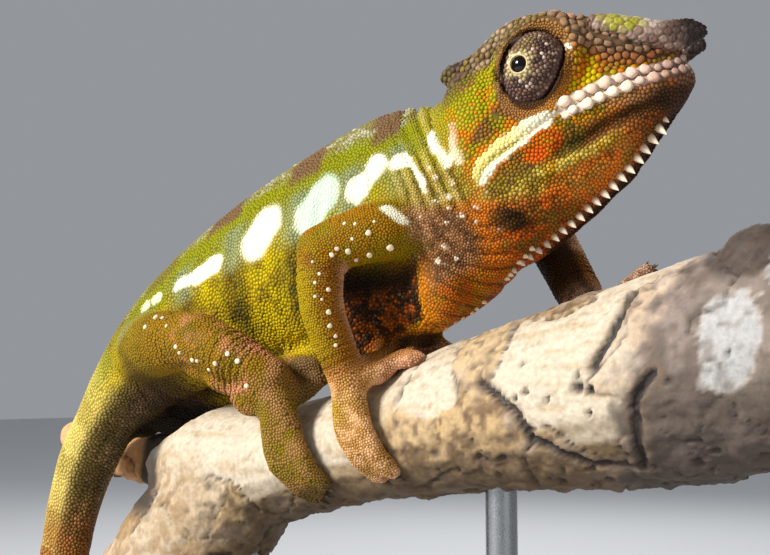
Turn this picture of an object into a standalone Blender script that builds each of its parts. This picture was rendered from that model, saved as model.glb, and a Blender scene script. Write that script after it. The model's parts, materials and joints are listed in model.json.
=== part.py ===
"""A panther chameleon (Furcifer pardalis, adult male) at life size, walking up a cut length of dead bough
that two rods hold over a flat steel base, as a natural history museum would show it.

The frame: origin at the centre of the base's underside, +X the way the body faces, +Y its left, +Z up.
Lengths below are millimetres; MM turns them into metres where a mesh is made.
The flesh is lofted as overlapping tubes, fused into one body, hollowed where the bough, claws, horns and
eyes sit, and then parted by thin cuts into the pieces that a person would name.
"""

import math

import bmesh
import bpy
from mathutils import Matrix, Vector

MM = 0.001
GAP = 0.3  # clearance between two pieces that touch
CLAW_GAP = 0.45
SAW = 0.32  # thickness of the cuts that part the flesh
LEFT = Vector((0, 1, 0))
UP = Vector((0, 0, 1))
SIDES = {"right": -1, "left": 1}

# Stand
BASE_LENGTH = 200
BASE_WIDTH = 124
BASE_THICKNESS = 10
BASE_CORNER = 16
ROD_RADIUS = 3.5
ROD_PLACES = {"front": 48, "rear": -27}  # along X, under the bough

# Fineness of the fused solids
FLESH_VOXEL = 0.9
FLESH_TRIANGLES = 2500
LIMB_VOXEL = 0.7
LIMB_TRIANGLES = 780
BOUGH_VOXEL = 1.6
BOUGH_TRIANGLES = 900
KEPT_AFTER_CUTS = (0.5, 0.58, 0.67, 0.8)  # shares of a cut piece's triangles, tried in turn

# Bough: X, Y, Z of its axis, and its radius
BOUGH_LIMB = (
    (121, -1, 149.5, 22.3),
    (96, 0, 144, 22.0),
    (75, 0, 139.5, 20.3),
    (56, 0, 136.3, 18.4),
    (38, 0, 133, 16.7),
    (20, 0, 128.5, 14.6),
    (3, 0, 124.7, 13.4),
    (-11, 0, 122, 14.0),
    (-23, 0, 119.5, 15.8),
    (-38, 0, 118.5, 16.2),
    (-52, 0, 119.5, 11.0),
)
BOUGH_FORK = (
    (-24, 0, 119, 15.5),
    (-38, 0, 107, 17.6),
    (-51, 0, 94, 17.6),
    (-66, 0, 77, 17.2),
)
BOUGH_TWIG = (
    (-40, 7, 120, 9.5),
    (-62, 14, 119, 8.4),
    (-82, 19, 118.5, 7.6),
    (-105, 24, 120.5, 6.4),
    (-130, 29, 123.5, 5.2),
)

# Trunk and root of the tail: X, Z of the middle, half width, height above and depth below the middle
TRUNK = (
    (46, 190, 11.0, 20.5, 20.5),
    (36, 183, 12.5, 27.5, 24.5),
    (23, 177, 13.4, 30.0, 29.0),
    (8, 174, 14.2, 28.8, 26.0),
    (-8, 171, 14.6, 25.6, 23.5),
    (-25, 166, 14.0, 22.4, 20.5),
    (-42, 158.5, 12.6, 18.8, 17.6),
    (-59, 148, 11.2, 15.4, 14.6),
    (-73, 136, 10.0, 13.0, 12.2),
    (-83, 124.5, 9.0, 11.0, 10.4),
    (-90, 112, 7.9, 9.5, 9.2),
    (-95.5, 98, 6.7, 8.1, 7.9),
    (-98, 86, 5.9, 7.0, 7.0),
)
TAIL_SHAFT = (
    (-95.5, 98, 6.7, 8.0),
    (-98, 86, 5.9, 7.0),
    (-99.5, 73, 5.3, 6.1),
    (-99.6, 62, 5.0, 5.5),
)
COIL_CENTRE = (-82.5, 56)
COIL_RADIUS = 17.0
COIL_TURNS = 1.8
COIL_TIGHTENING = 0.69  # share of the radius, as a power of e, lost in each turn
INNER_COIL_FROM = 0.93  # turns from the start
COIL_DRIFT = -3.0  # sideways, from its start to its tip
TAIL_TIP_RADIUS = 0.9

# Head: its own frame has X along the mouth, origin between the corners of the mouth
HEAD_ORIGIN = (42.8, 3.0, 187.6)
HEAD_YAW = math.radians(20)
HEAD_PITCH = math.radians(25)
# X, Z of the widest level, half width, height above and depth below it
SKULL = (
    (-12, -3, 11.0, 18.0, 21.5),
    (-3, -3, 13.0, 22.5, 20.0),
    (5, -3, 14.2, 28.5, 19.5),
    (12, -3, 14.0, 30.5, 17.8),
    (20, -2.5, 13.3, 29.6, 16.0),
    (28, -2, 12.2, 26.6, 13.9),
    (35, -1, 11.0, 21.8, 11.0),
    (42, 0, 9.4, 14.6, 8.2),
    (48, 0.8, 7.2, 9.6, 5.6),
    (52, 1.2, 4.6, 5.0, 3.2),
)
# Crests of the head, as X, distance from the midline, Z and radius
BROW_CREST = (
    (2.7, 1.0, 26.6, 1.9),
    (8, 3.2, 28.2, 2.0),
    (14, 6.4, 27.4, 2.2),
    (20, 8.0, 26.7, 2.5),
    (26, 8.6, 25.3, 2.5),
    (32, 8.9, 22.2, 2.3),
    (37, 9.1, 18.2, 2.0),
)
CASQUE_CREST = ((3.4, 0, 26.4, 1.8), (10, 0, 28.0, 1.6), (24, 0, 26.8, 1.4))
CHEEK = ((-4, 10.0, -3, 3.2), (8, 11.0, -1.5, 4.0), (20, 10.4, 1, 3.0))
SNOUT_RIDGE = ((30, 8.2, 20.5, 3.0), (37, 8.2, 15.5, 3.0), (44, 7.4, 10.4, 2.6), (50, 5.0, 6.0, 2.0))
# X, distance from the midline, Z, half width and half height
HORN = (
    (36.5, 9.4, 18.0, 1.4, 1.9),
    (41, 9.3, 14.8, 2.1, 2.8),
    (46, 8.4, 11.4, 2.4, 3.3),
    (51, 6.9, 8.2, 2.4, 3.3),
    (55.5, 5.4, 6.2, 2.0, 2.7),
    (58, 4.8, 5.2, 1.0, 1.3),
)
EYE_CENTRE = (20.8, 8.9, 15.3)
EYE_RADIUS = 8.2
EYE_GAZE = {"right": (-0.25, -0.97, 0.05), "left": (0.38, 1.0, -0.16)}
LID_OPENING_RADIUS = 1.9
EYEBALL_RADIUS = 3.0

# Limbs: X, Y, Z and radius from the body to the elbow or knee, and on to the wrist or ankle
RIGHT_ARM = ((30, -5, 174.5, 7.5), (26, -15, 175, 7.4), (14.2, -21.5, 171.2, 6.0))
RIGHT_FOREARM = ((14.2, -21.5, 171.2, 6.0), (14.8, -22, 158, 5.4), (18.8, -17.6, 142.5, 4.8))
LEFT_ARM = ((38, 6, 176, 9.0), (39, 18, 178, 7.6), (43, 31, 181, 6.6))
LEFT_FOREARM = ((43, 31, 181, 6.6), (51, 26, 171, 6.2), (60.5, 18.5, 160, 5.4))
RIGHT_THIGH = ((-60, -6, 150, 9.5), (-42, -16, 151.5, 8.6), (-25, -20.5, 152, 7.0))
RIGHT_SHANK = ((-25, -20.5, 152, 7.0), (-14, -20.5, 147.5, 6.3), (-3.6, -18, 142, 5.2))
LEFT_THIGH = ((-60, 6, 150, 9.5), (-66, 20, 149, 8.2), (-72, 33, 146, 7.0))
LEFT_SHANK = ((-72, 33, 146, 7.0), (-84, 32, 139, 6.4), (-97, 27, 134.5, 5.4))
LIMBS = {
    "right_fore": (RIGHT_ARM, RIGHT_FOREARM),
    "left_fore": (LEFT_ARM, LEFT_FOREARM),
    "right_hind": (RIGHT_THIGH, RIGHT_SHANK),
    "left_hind": (LEFT_THIGH, LEFT_SHANK),
}
PIECE_NAMES = {"fore": ("upper_arm", "forearm", "forefoot"), "hind": ("thigh", "shank", "hindfoot")}

# Toes: for each station along a bundle, place along the bough and the angle round it from its top
DIGIT_RADIUS = 2.75
TOE_LIFT = 3.0  # of the bundle's middle over the bark
CLAW_LENGTH = 3.2
CLAW_RADIUS = 0.85
FEET = {
    "right_fore": {
        "wrist": (18.8, -17.6, 142.5),
        "outer": (2, ((22, 78), (26.5, 100), (30.5, 120), (33.5, 138))),
        "inner": (3, ((23, 34), (28.5, 6), (32, -24), (33.5, -50))),
    },
    "left_fore": {
        "wrist": (60.5, 18.5, 160),
        "outer": (2, ((64, -72), (68, -98), (71, -124), (72, -146))),
        "inner": (3, ((66.5, -44), (73, -33), (79, -27), (83, -22))),
    },
    "right_hind": {
        "wrist": (-3.6, -18, 142),
        "outer": (3, ((0.5, 82), (5, 102), (9, 122), (12, 140))),
        "inner": (2, ((-0.5, 40), (3.5, 6), (6.5, -28), (7.5, -56))),
    },
    "left_hind": {
        "wrist": (-97, 27, 134.5),
        "outer": (3, ((-104, -66), (-108, -98), (-111, -130), (-112, -158))),
        "inner": (2, ((-105, 6), (-111, 44), (-115, 82), (-117, 114))),
    },
}

GREEN = (0.30, 0.34, 0.03)
OLIVE = (0.36, 0.24, 0.03)
RUST = (0.50, 0.17, 0.03)
HORN_BROWN = (0.16, 0.12, 0.10)
TURRET_BROWN = (0.12, 0.075, 0.055)


def scaled(point):
    return Vector(point) * MM


def clear_scene():
    for obj in list(bpy.data.objects):
        bpy.data.objects.remove(obj)


def finish(name, colour, roughness, metallic=0.0):
    material = bpy.data.materials.new(name)
    material.use_nodes = True
    shader = material.node_tree.nodes["Principled BSDF"]
    shader.inputs["Base Color"].default_value = (*colour, 1)
    shader.inputs["Roughness"].default_value = roughness
    shader.inputs["Metallic"].default_value = metallic
    return material


def add_object(name, mesh):
    obj = bpy.data.objects.new(name, mesh)
    bpy.context.scene.collection.objects.link(obj)
    return obj


def object_from(name, bm):
    bmesh.ops.recalc_face_normals(bm, faces=bm.faces)
    mesh = bpy.data.meshes.new(name)
    bm.to_mesh(mesh)
    bm.free()
    return add_object(name, mesh)


def between(before, start, end, after, share):
    """A Catmull-Rom curve's value at a share of the way from start to end."""
    return 0.5 * (
        2 * start
        + (end - before) * share
        + (2 * before - 5 * start + 4 * end - after) * share**2
        + (3 * start - before - 3 * end + after) * share**3
    )


def smooth_rows(rows, steps):
    """The rows of numbers with steps - 1 more between each two, on a smooth curve through them all."""
    last = len(rows) - 1
    made = []
    for i in range(last):
        four = [rows[max(0, min(last, k))] for k in (i - 1, i, i + 1, i + 2)]
        for step in range(steps):
            made.append(tuple(between(*values, step / steps) for values in zip(*four)))
    made.append(tuple(float(value) for value in rows[last]))
    return made


def loft(name, sections, side, sides=18, top_power=2.0, bottom_power=2.0):
    """A closed tube. A section is its middle, half width, height above and depth below, in millimetres.

    side is the direction of the width. A power under 2 draws that half of each section in to a keel.
    """
    bm = bmesh.new()
    rings = []
    middles = [Vector(section[0]) for section in sections]
    for i, (middle, width, above, below) in enumerate(sections):
        ahead = middles[min(i + 1, len(middles) - 1)] - middles[max(i - 1, 0)]
        across = (side - side.project(ahead)).normalized()
        over = across.cross(ahead).normalized()
        ring = []
        for k in range(sides):
            turn = 2 * math.pi * k / sides
            c, s = math.cos(turn), math.sin(turn)
            power, reach = (top_power, above) if s > 0 else (bottom_power, below)
            out = math.copysign(abs(c) ** (2 / power), c) * width
            up = math.copysign(abs(s) ** (2 / power), s) * reach
            ring.append(bm.verts.new(scaled(Vector(middle) + across * out + over * up)))
        rings.append(ring)
    for ring, following in zip(rings, rings[1:]):
        for k in range(sides):
            n = (k + 1) % sides
            bm.faces.new((ring[k], ring[n], following[n], following[k]))
    bm.faces.new(rings[0])
    bm.faces.new(rings[-1])
    return object_from(name, bm)


def round_tube(name, stations, sides=16, steps=4, side=LEFT):
    """A round tube with rounded ends through stations of X, Y, Z and radius."""
    rows = smooth_rows(stations, steps)
    ends = []
    for tip, inner in ((rows[0], rows[1]), (rows[-1], rows[-2])):
        outwards = (Vector(tip[:3]) - Vector(inner[:3])).normalized()
        caps = []
        for turn in (0.5, 0.95, 1.35):
            middle = Vector(tip[:3]) + outwards * tip[3] * math.sin(turn)
            caps.append((*middle, tip[3] * math.cos(turn)))
        ends.append(caps)
    rows = ends[0][::-1] + rows + ends[1]
    return loft(name, [(row[:3], row[3], row[3], row[3]) for row in rows], side, sides)


def mirrored(stations, sign):
    """Stations with their distance from the midline turned into Y on the side that sign names."""
    return [(row[0], sign * row[1], *row[2:]) for row in stations]


def joined(name, objects):
    """One object holding every shell of the objects, which are used up."""
    bm = bmesh.new()
    for obj in objects:
        start = len(bm.verts)
        bm.from_mesh(obj.data)
        bm.verts.ensure_lookup_table()
        bmesh.ops.transform(bm, matrix=obj.matrix_world, verts=bm.verts[start:])
        bpy.data.objects.remove(obj)
    mesh = bpy.data.meshes.new(name)
    bm.to_mesh(mesh)
    bm.free()
    return add_object(name, mesh)


def apply_modifiers(obj):
    graph = bpy.context.evaluated_depsgraph_get()
    mesh = bpy.data.meshes.new_from_object(obj.evaluated_get(graph), depsgraph=graph)
    obj.modifiers.clear()
    obj.data = mesh


def fuse(obj, voxel, smoothing, triangles):
    """Overlapping shells made one skin, eased, and thinned to about that many triangles."""
    remesh = obj.modifiers.new("fuse", "REMESH")
    remesh.mode = "VOXEL"
    remesh.voxel_size = voxel * MM
    ease = obj.modifiers.new("ease", "SMOOTH")
    ease.iterations = smoothing
    apply_modifiers(obj)
    faces = sum(len(face.vertices) - 2 for face in obj.data.polygons)
    thin = obj.modifiers.new("thin", "DECIMATE")
    thin.ratio = min(1.0, triangles / faces)
    apply_modifiers(obj)


def boolean(obj, other, operation="DIFFERENCE"):
    cut = obj.modifiers.new("cut", "BOOLEAN")
    cut.operation = operation
    cut.object = other
    cut.solver = "EXACT"
    apply_modifiers(obj)


def swollen(obj, by):
    """A copy whose skin stands out by that many millimetres, to cut clearance with."""
    copy = add_object(obj.name + "_clearance", obj.data.copy())
    copy.matrix_world = obj.matrix_world
    bm = bmesh.new()
    bm.from_mesh(copy.data)
    bm.normal_update()
    for vert, normal in [(vert, vert.normal.copy()) for vert in bm.verts]:
        vert.co += normal * by * MM
    bm.to_mesh(copy.data)
    bm.free()
    return copy


def make_room(obj, neighbour, gap=GAP):
    """Cuts obj back so that neighbour fits with a gap."""
    room = swollen(neighbour, gap)
    boolean(obj, room)
    bpy.data.objects.remove(room)


def slab(middle, normal, half_width, half_height, width_along):
    """A thin sheet square to normal, to saw with."""
    normal = Vector(normal).normalized()
    across = (Vector(width_along) - Vector(width_along).project(normal)).normalized()
    over = normal.cross(across)
    turn = Matrix((across, over, normal)).transposed().to_4x4()
    size = Matrix.Diagonal((2 * half_width * MM, 2 * half_height * MM, SAW * MM, 1))
    bm = bmesh.new()
    bmesh.ops.create_cube(bm, size=1, matrix=Matrix.Translation(scaled(middle)) @ turn @ size)
    return object_from("saw", bm)


def loose_parts(obj):
    """The object's shells as vertex index sets, the largest first."""
    bm = bmesh.new()
    bm.from_mesh(obj.data)
    left, shells = set(bm.verts), []
    while left:
        reached, edge_of_search = set(), [next(iter(left))]
        while edge_of_search:
            vert = edge_of_search.pop()
            if vert not in reached:
                reached.add(vert)
                edge_of_search += [edge.other_vert(vert) for edge in vert.link_edges]
        shells.append({vert.index for vert in reached})
        left -= reached
    bm.free()
    return sorted(shells, key=len, reverse=True)


def keep_shell(obj, name, shell):
    bm = bmesh.new()
    bm.from_mesh(obj.data)
    doomed = [vert for vert in bm.verts if vert.index not in shell]
    bmesh.ops.delete(bm, geom=doomed, context="VERTS")
    mesh = bpy.data.meshes.new(name)
    bm.to_mesh(mesh)
    bm.free()
    return add_object(name, mesh)


def saw_off(obj, name, middle, normal, half_width=30.0, half_height=30.0, width_along=LEFT):
    """Parts obj by a thin cut. The piece on the normal's side gets the name and is returned with the rest."""
    sheet = slab(middle, normal, half_width, half_height, width_along)
    boolean(obj, sheet)
    bpy.data.objects.remove(sheet)
    shells = loose_parts(obj)[:2]
    if len(shells) < 2:
        raise RuntimeError(f"the cut for {name} does not part {obj.name}")
    height = []
    for shell in shells:
        mean = sum((obj.data.vertices[i].co for i in shell), Vector()) / len(shell)
        height.append((mean - scaled(middle)).dot(Vector(normal)))
    off = 0 if height[0] > height[1] else 1
    rest_name = obj.name
    obj.name = "being_sawn"
    piece = keep_shell(obj, name, shells[off])
    rest = keep_shell(obj, rest_name, shells[1 - off])
    bpy.data.objects.remove(obj)
    return piece, rest


def head_matrix():
    turn = Matrix.Rotation(HEAD_YAW, 4, "Z") @ Matrix.Rotation(-HEAD_PITCH, 4, "Y")
    return Matrix.Translation(Vector(HEAD_ORIGIN)) @ turn


HEAD = head_matrix()


def from_head(point):
    return HEAD @ Vector(point)


def head_direction(direction):
    return (HEAD.to_3x3() @ Vector(direction)).normalized()


def make_stand():
    bm = bmesh.new()
    size = Matrix.Diagonal((BASE_LENGTH * MM, BASE_WIDTH * MM, BASE_THICKNESS * MM, 1))
    lift = Matrix.Translation(scaled((0, 0, BASE_THICKNESS / 2)))
    bmesh.ops.create_cube(bm, size=1, matrix=lift @ size)
    upright = [e for e in bm.edges if abs((e.verts[0].co - e.verts[1].co).z) > MM]
    bmesh.ops.bevel(
        bm, geom=upright, offset=BASE_CORNER * MM, segments=6, profile=0.5, affect="EDGES"
    )
    rim = [e for e in bm.edges if all(v.co.z > (BASE_THICKNESS - 0.5) * MM for v in e.verts)]
    bmesh.ops.bevel(bm, geom=rim, offset=1.2 * MM, segments=2, profile=0.5, affect="EDGES")
    base = object_from("stand_base", bm)
    rods = []
    for place, x in ROD_PLACES.items():
        top = bough_axis(BOUGH_LIMB, x)[2]
        bottom = BASE_THICKNESS + GAP
        bm = bmesh.new()
        bmesh.ops.create_cone(
            bm,
            cap_ends=True,
            segments=20,
            radius1=ROD_RADIUS * MM,
            radius2=ROD_RADIUS * MM,
            depth=(top - bottom) * MM,
            matrix=Matrix.Translation(scaled((x, 0, (top + bottom) / 2))),
        )
        rods.append(object_from(f"stand_rod_{place}", bm))
    return base, rods


def bough_axis(stations, x):
    """X, Y, Z and radius of a limb of the bough where its axis crosses that X."""
    rows = smooth_rows(stations, 8)
    for row, following in zip(rows, rows[1:]):
        if min(row[0], following[0]) <= x <= max(row[0], following[0]):
            share = (x - row[0]) / (following[0] - row[0])
            return tuple(a + (b - a) * share for a, b in zip(row, following))
    return rows[0] if abs(x - rows[0][0]) < abs(x - rows[-1][0]) else rows[-1]


def on_bark(stations, x, degrees, lift):
    """A point over the bark at that X and at that angle from the top, positive towards the right side."""
    _, y, z, radius = bough_axis(stations, x)
    turn = math.radians(degrees)
    reach = radius + lift
    return Vector((x, y - reach * math.sin(turn), z + reach * math.cos(turn)))


def make_bough(rods):
    flat_end = [(row[:3], row[3], row[3], row[3]) for row in smooth_rows(BOUGH_LIMB, 4)]
    limbs = [loft("limb", flat_end, LEFT, sides=22)]
    fork = [(row[:3], row[3], row[3], row[3]) for row in smooth_rows(BOUGH_FORK, 4)]
    limbs.append(loft("fork", fork, LEFT, sides=20))
    limbs.append(round_tube("twig", BOUGH_TWIG, sides=14))
    limbs.append(round_tube("knot", ((-44, -2, 121, 12), (-52, -1, 124, 9.5)), sides=14))
    bough = joined("perch_bough", limbs)
    fuse(bough, BOUGH_VOXEL, 3, BOUGH_TRIANGLES)
    for rod in rods:
        make_room(bough, rod)
    return bough


def trunk_shell():
    sections = []
    for x, z, width, above, below in smooth_rows(TRUNK, 4):
        sections.append(((x, 0, z), width, above, below))
    return loft("trunk", sections, LEFT, sides=28, top_power=1.7, bottom_power=2.0)


def skull_shell():
    """The skull with the throat below it, lofted in the head's frame from back to front."""
    sections = []
    for x, z, width, above, below in smooth_rows(SKULL, 4):
        sections.append(((x, 0, z), width, above, below))
    skull = loft("skull", sections, -LEFT, sides=28, top_power=2.7, bottom_power=1.85)
    skull.data.transform(Matrix.Scale(MM, 4) @ HEAD @ Matrix.Scale(1 / MM, 4))
    return skull


def head_tube(name, stations, sign):
    placed = [(*from_head(row[:3]), row[3]) for row in mirrored(stations, sign)]
    return round_tube(name, placed, sides=12, steps=3, side=head_direction(UP))


def throat_shell():
    """The slack skin between the chin and the chest."""
    chest = ((26, 0, 158, 9.5), (38, 1.5, 164, 9.0))
    front = [(*from_head(point), radius) for point, radius in (((-2, 0, -15), 7.5), ((14, 0, -12.5), 6.0))]
    return round_tube("throat", [*chest, *front], sides=16)


def bundle_digits(foot, which, limb):
    """The paths of a bundle's digits: rows of X, Y, Z and radius."""
    spec = FEET[foot]
    count, wraps = spec[which]
    digits = []
    for digit in range(count):
        offset = (digit - (count - 1) / 2) * DIGIT_RADIUS * 1.35
        rows = [(*spec["wrist"], DIGIT_RADIUS * 1.5)]
        for i, (x, angle) in enumerate(wraps):
            share = (i + 1) / len(wraps)
            radius = DIGIT_RADIUS * (1.28 - 0.42 * share)
            middle = on_bark(limb, x, angle, TOE_LIFT * (1.25 - 0.4 * share))
            previous = wraps[i - 1] if i else wraps[0]
            following = wraps[min(i + 1, len(wraps) - 1)]
            ahead = on_bark(limb, *following, TOE_LIFT) - on_bark(limb, *previous, TOE_LIFT)
            out = middle - on_bark(limb, x, angle, -5)
            sideways = ahead.cross(out).normalized()
            spread = 0.75 + 0.45 * share
            rows.append((*(middle + sideways * offset * spread), radius))
        digits.append(rows)
    return digits


def claw(name, digit):
    """A curved cone that starts inside the tip of a digit."""
    tip, before = Vector(digit[-1][:3]), Vector(digit[-2][:3])
    ahead = (tip - before).normalized()
    _, y, z, _ = bough_axis(BOUGH_TWIG if tip.x < -85 else BOUGH_LIMB, tip.x)
    inward = Vector((0, y - tip.y, z - tip.z)).normalized()
    rows = []
    for share, radius in ((0.0, 1.0), (0.35, 0.9), (0.7, 0.55), (1.0, 0.16)):
        reach = digit[-1][3] * 0.72 + CLAW_LENGTH * share
        bend = inward * CLAW_LENGTH * 0.32 * share**2
        lift = inward * -0.5
        rows.append((tuple(tip + ahead * reach + bend + lift), *([radius * CLAW_RADIUS] * 3)))
    return loft(name, rows, LEFT if abs(ahead.y) < 0.8 else UP, sides=6)


def gripped(foot):
    """The limb of the bough that the foot holds."""
    return BOUGH_TWIG if foot == "left_hind" else BOUGH_LIMB


def make_limb(foot):
    """One limb fused from its two long parts and its toes, and the claws for it."""
    shells = [round_tube("limb", stations, sides=14) for stations in LIMBS[foot]]
    claws = []
    for which in ("outer", "inner"):
        for digit in bundle_digits(foot, which, gripped(foot)):
            shells.append(round_tube("digit", digit, sides=10, steps=3, side=UP))
            claws.append(claw(f"claw_{foot}_{len(claws) + 1}", digit))
    limb = joined(f"limb_{foot}", shells)
    fuse(limb, LIMB_VOXEL, 4, LIMB_TRIANGLES)
    return limb, claws


def make_horn(side, sign):
    sections = []
    for x, y, z, width, height in smooth_rows(HORN, 2):
        sections.append((tuple(from_head((x, sign * y, z))), width, height, height))
    return loft(f"rostral_horn_{side}", sections, head_direction(LEFT), sides=10)


def lathe(name, profile, place, segments=16):
    """The solid swept by a profile of radius and height that starts and ends on the axis."""
    bm = bmesh.new()
    rings = []
    for radius, height in profile:
        if radius < 1e-6:
            rings.append([bm.verts.new(place @ Vector((0, 0, height)) * MM)])
            continue
        ring = []
        for k in range(segments):
            turn = 2 * math.pi * k / segments
            point = Vector((radius * math.cos(turn), radius * math.sin(turn), height))
            ring.append(bm.verts.new(place @ point * MM))
        rings.append(ring)
    for ring, following in zip(rings, rings[1:]):
        for k in range(segments):
            n = (k + 1) % segments
            corners = [ring[k % len(ring)], ring[n % len(ring)]]
            corners += [following[n % len(following)], following[k % len(following)]]
            bm.faces.new(list(dict.fromkeys(corners)))
    return object_from(name, bm)


def arc(radius, centre, start, end, steps):
    """Radius and height along a circle, from one angle off the axis to another, in degrees."""
    points = []
    for i in range(steps + 1):
        angle = math.radians(start + (end - start) * i / steps)
        points.append((abs(radius * math.sin(angle)), centre + radius * math.cos(angle)))
    return points


def make_eye(side, sign):
    """The scaly turret, hollowed at its point, and the eyeball that looks out of the hollow."""
    centre = from_head((EYE_CENTRE[0], sign * EYE_CENTRE[1], EYE_CENTRE[2]))
    aim = head_direction(EYE_GAZE[side]).to_track_quat("Z", "Y").to_matrix().to_4x4()
    place = Matrix.Translation(centre) @ aim
    opening = math.degrees(math.asin(LID_OPENING_RADIUS / EYE_RADIUS))
    ball_at = EYE_RADIUS - EYEBALL_RADIUS - 0.1
    hollow = EYEBALL_RADIUS + GAP
    rim = math.degrees(math.asin(LID_OPENING_RADIUS / hollow))
    skin = arc(EYE_RADIUS, 0, 180, opening, 9)
    socket = arc(hollow, ball_at, rim, 180, 4)
    turret = lathe(f"eye_turret_{side}", skin + socket, place)
    ball = lathe(f"eyeball_{side}", arc(EYEBALL_RADIUS, ball_at, 180, 0, 8), place, 12)
    orbit = lathe("orbit", arc(EYE_RADIUS + GAP, 0, 180, 0, 9), place)
    return turret, ball, orbit


def coil_row(turn):
    """The middle of the coiled tail, and its half width and half depth, that many turns in."""
    first = TAIL_SHAFT[-1]
    share = turn / COIL_TURNS
    angle = math.pi + 2 * math.pi * turn
    reach = COIL_RADIUS * math.exp(-COIL_TIGHTENING * turn)
    x = COIL_CENTRE[0] + reach * math.cos(angle)
    z = COIL_CENTRE[1] + reach * math.sin(angle)
    width = first[2] + (TAIL_TIP_RADIUS - first[2]) * share**0.9
    depth = first[3] + (TAIL_TIP_RADIUS - first[3]) * share**0.75
    return Vector((x, COIL_DRIFT * share, z)), width, depth


def make_tail():
    """The shaft and the coil of the tail, as one tube that is then cut into lengths."""
    rows = []
    for x, z, width, depth in smooth_rows(TAIL_SHAFT, 3):
        rows.append((Vector((x, 0, z)), width, depth))
    steps = 30
    rows += [coil_row(COIL_TURNS * i / steps) for i in range(1, steps + 1)]
    sections = [(middle, width, depth, depth) for middle, width, depth in rows]
    return loft("tail", sections, LEFT, sides=10)


def cut_tail(tail, flesh):
    """Parts the tail into lengths, and trims its root to meet the flesh."""
    root = (-96.5, 0, 93)
    down = Vector((-0.17, 0, -1))
    tail, stump = saw_off(tail, "tail_rest", root, down, 14, 14)
    bpy.data.objects.remove(stump)
    shorter, flesh = saw_off(flesh, "tail_end_of_flesh", root, down, 14, 14)
    bpy.data.objects.remove(shorter)
    middle, width, depth = coil_row(INNER_COIL_FROM)
    onwards = coil_row(INNER_COIL_FROM + 0.02)[0] - middle
    inner, tail = saw_off(tail, "tail_coil_inner", middle, onwards, width + 0.6, depth + 0.25)
    outer, shaft = saw_off(tail, "tail_coil_outer", (-99.6, 0, 62), (0, 0, -1), 9, 6.4)
    shaft.name = "tail_shaft"
    return shaft, outer, inner, flesh


def cut_limb(foot, limb):
    """Parts a limb at its joints and between its two bundles of toes."""
    side, end = foot.split("_")
    upper_name, lower_name, foot_name = PIECE_NAMES[end]
    upper, lower = ([Vector(row[:3]) for row in stations] for stations in LIMBS[foot])
    knee, calf, wrist = lower
    bisector = (knee - upper[1]).normalized() + (calf - knee).normalized()
    rest, top = saw_off(limb, "lower_limb", knee, bisector, 12, 12, UP)
    sole, shin = saw_off(rest, "foot", calf.lerp(wrist, 0.80), wrist - calf, 11, 11, UP)
    outer, inner = divide_foot(foot, sole, wrist)
    top.name = f"{upper_name}_{side}"
    shin.name = f"{lower_name}_{side}"
    outer.name = f"{foot_name}_{side}_outer"
    inner.name = f"{foot_name}_{side}_inner"
    return [top, shin, outer, inner]


def divide_foot(foot, sole, wrist):
    """Parts a foot between its two bundles of toes."""
    ends = [on_bark(gripped(foot), *FEET[foot][which][1][1], TOE_LIFT) for which in ("outer", "inner")]
    apart = (ends[0] - wrist).normalized() - (ends[1] - wrist).normalized()
    middle = wrist.lerp((ends[0] + ends[1]) / 2, 0.1)
    return saw_off(sole, "outer_toes", middle, apart, 16, 16, UP)


def cut_trunk(flesh):
    """Parts head, jaw, casque, neck, the two halves of the trunk and the root of the tail."""
    along = head_direction((1, 0, 0))
    up = head_direction(UP)
    across = head_direction(LEFT)
    head, flesh = saw_off(flesh, "head", from_head((-1.5, 0, -3)), along, 20, 34, across)
    jaw, head = saw_off(head, "lower_jaw", from_head((28, 0, 0)), -up, 20, 40, across)
    slope = head_direction((-0.55, 0, 0.84))
    casque, head = saw_off(head, "casque", from_head((10, 0, 23)), slope, 16, 26, across)
    neck, flesh = saw_off(flesh, "neck", (31, 0, 178), (0.94, 0, 0.34), 22, 44)
    tail_base, flesh = saw_off(flesh, "tail_base", (-68, 0, 140.5), (-0.70, 0, -0.72), 20, 24)
    loin, chest = saw_off(flesh, "trunk_rear", (-16, 0, 169), (-0.97, 0, -0.25), 24, 40)
    chest.name = "trunk_front"
    return [head, jaw, casque, neck, chest, loin, tail_base]


def paint(objects, material):
    for obj in objects:
        obj.data.materials.clear()
        obj.data.materials.append(material)
        obj.data.shade_smooth()
        obj.data.set_sharp_from_angle(angle=math.radians(40))


def make_flesh(bough):
    """Trunk, tail root, head and throat fused into one body, seated over the bough."""
    shells = [trunk_shell(), skull_shell(), throat_shell(), head_tube("crest", CASQUE_CREST, 1)]
    for sign in (-1, 1):
        shells.append(head_tube("brow", BROW_CREST, sign))
        shells.append(head_tube("cheek", CHEEK, sign))
        shells.append(head_tube("snout_ridge", SNOUT_RIDGE, sign))
    flesh = joined("flesh", shells)
    fuse(flesh, FLESH_VOXEL, 5, FLESH_TRIANGLES)
    make_room(flesh, bough)
    return flesh


def make_limbs(flesh, bough):
    """The four limbs in pieces, fitted against the trunk and the bough, and their claws."""
    pieces, claws = [], []
    for foot in FEET:
        limb, its_claws = make_limb(foot)
        make_room(limb, flesh)
        make_room(limb, bough)
        for claw_piece in its_claws:
            make_room(limb, claw_piece, CLAW_GAP)
            make_room(claw_piece, bough)
        pieces += cut_limb(foot, limb)
        claws += its_claws
    return pieces, claws


def fit_horns(flesh):
    horns = [make_horn(side, sign) for side, sign in SIDES.items()]
    for horn in horns:
        make_room(flesh, horn)
    return horns


def fit_eyes(flesh):
    turrets, balls = [], []
    for side, sign in SIDES.items():
        turret, ball, orbit = make_eye(side, sign)
        boolean(flesh, orbit)
        bpy.data.objects.remove(orbit)
        turrets.append(turret)
        balls.append(ball)
    return turrets, balls


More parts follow.
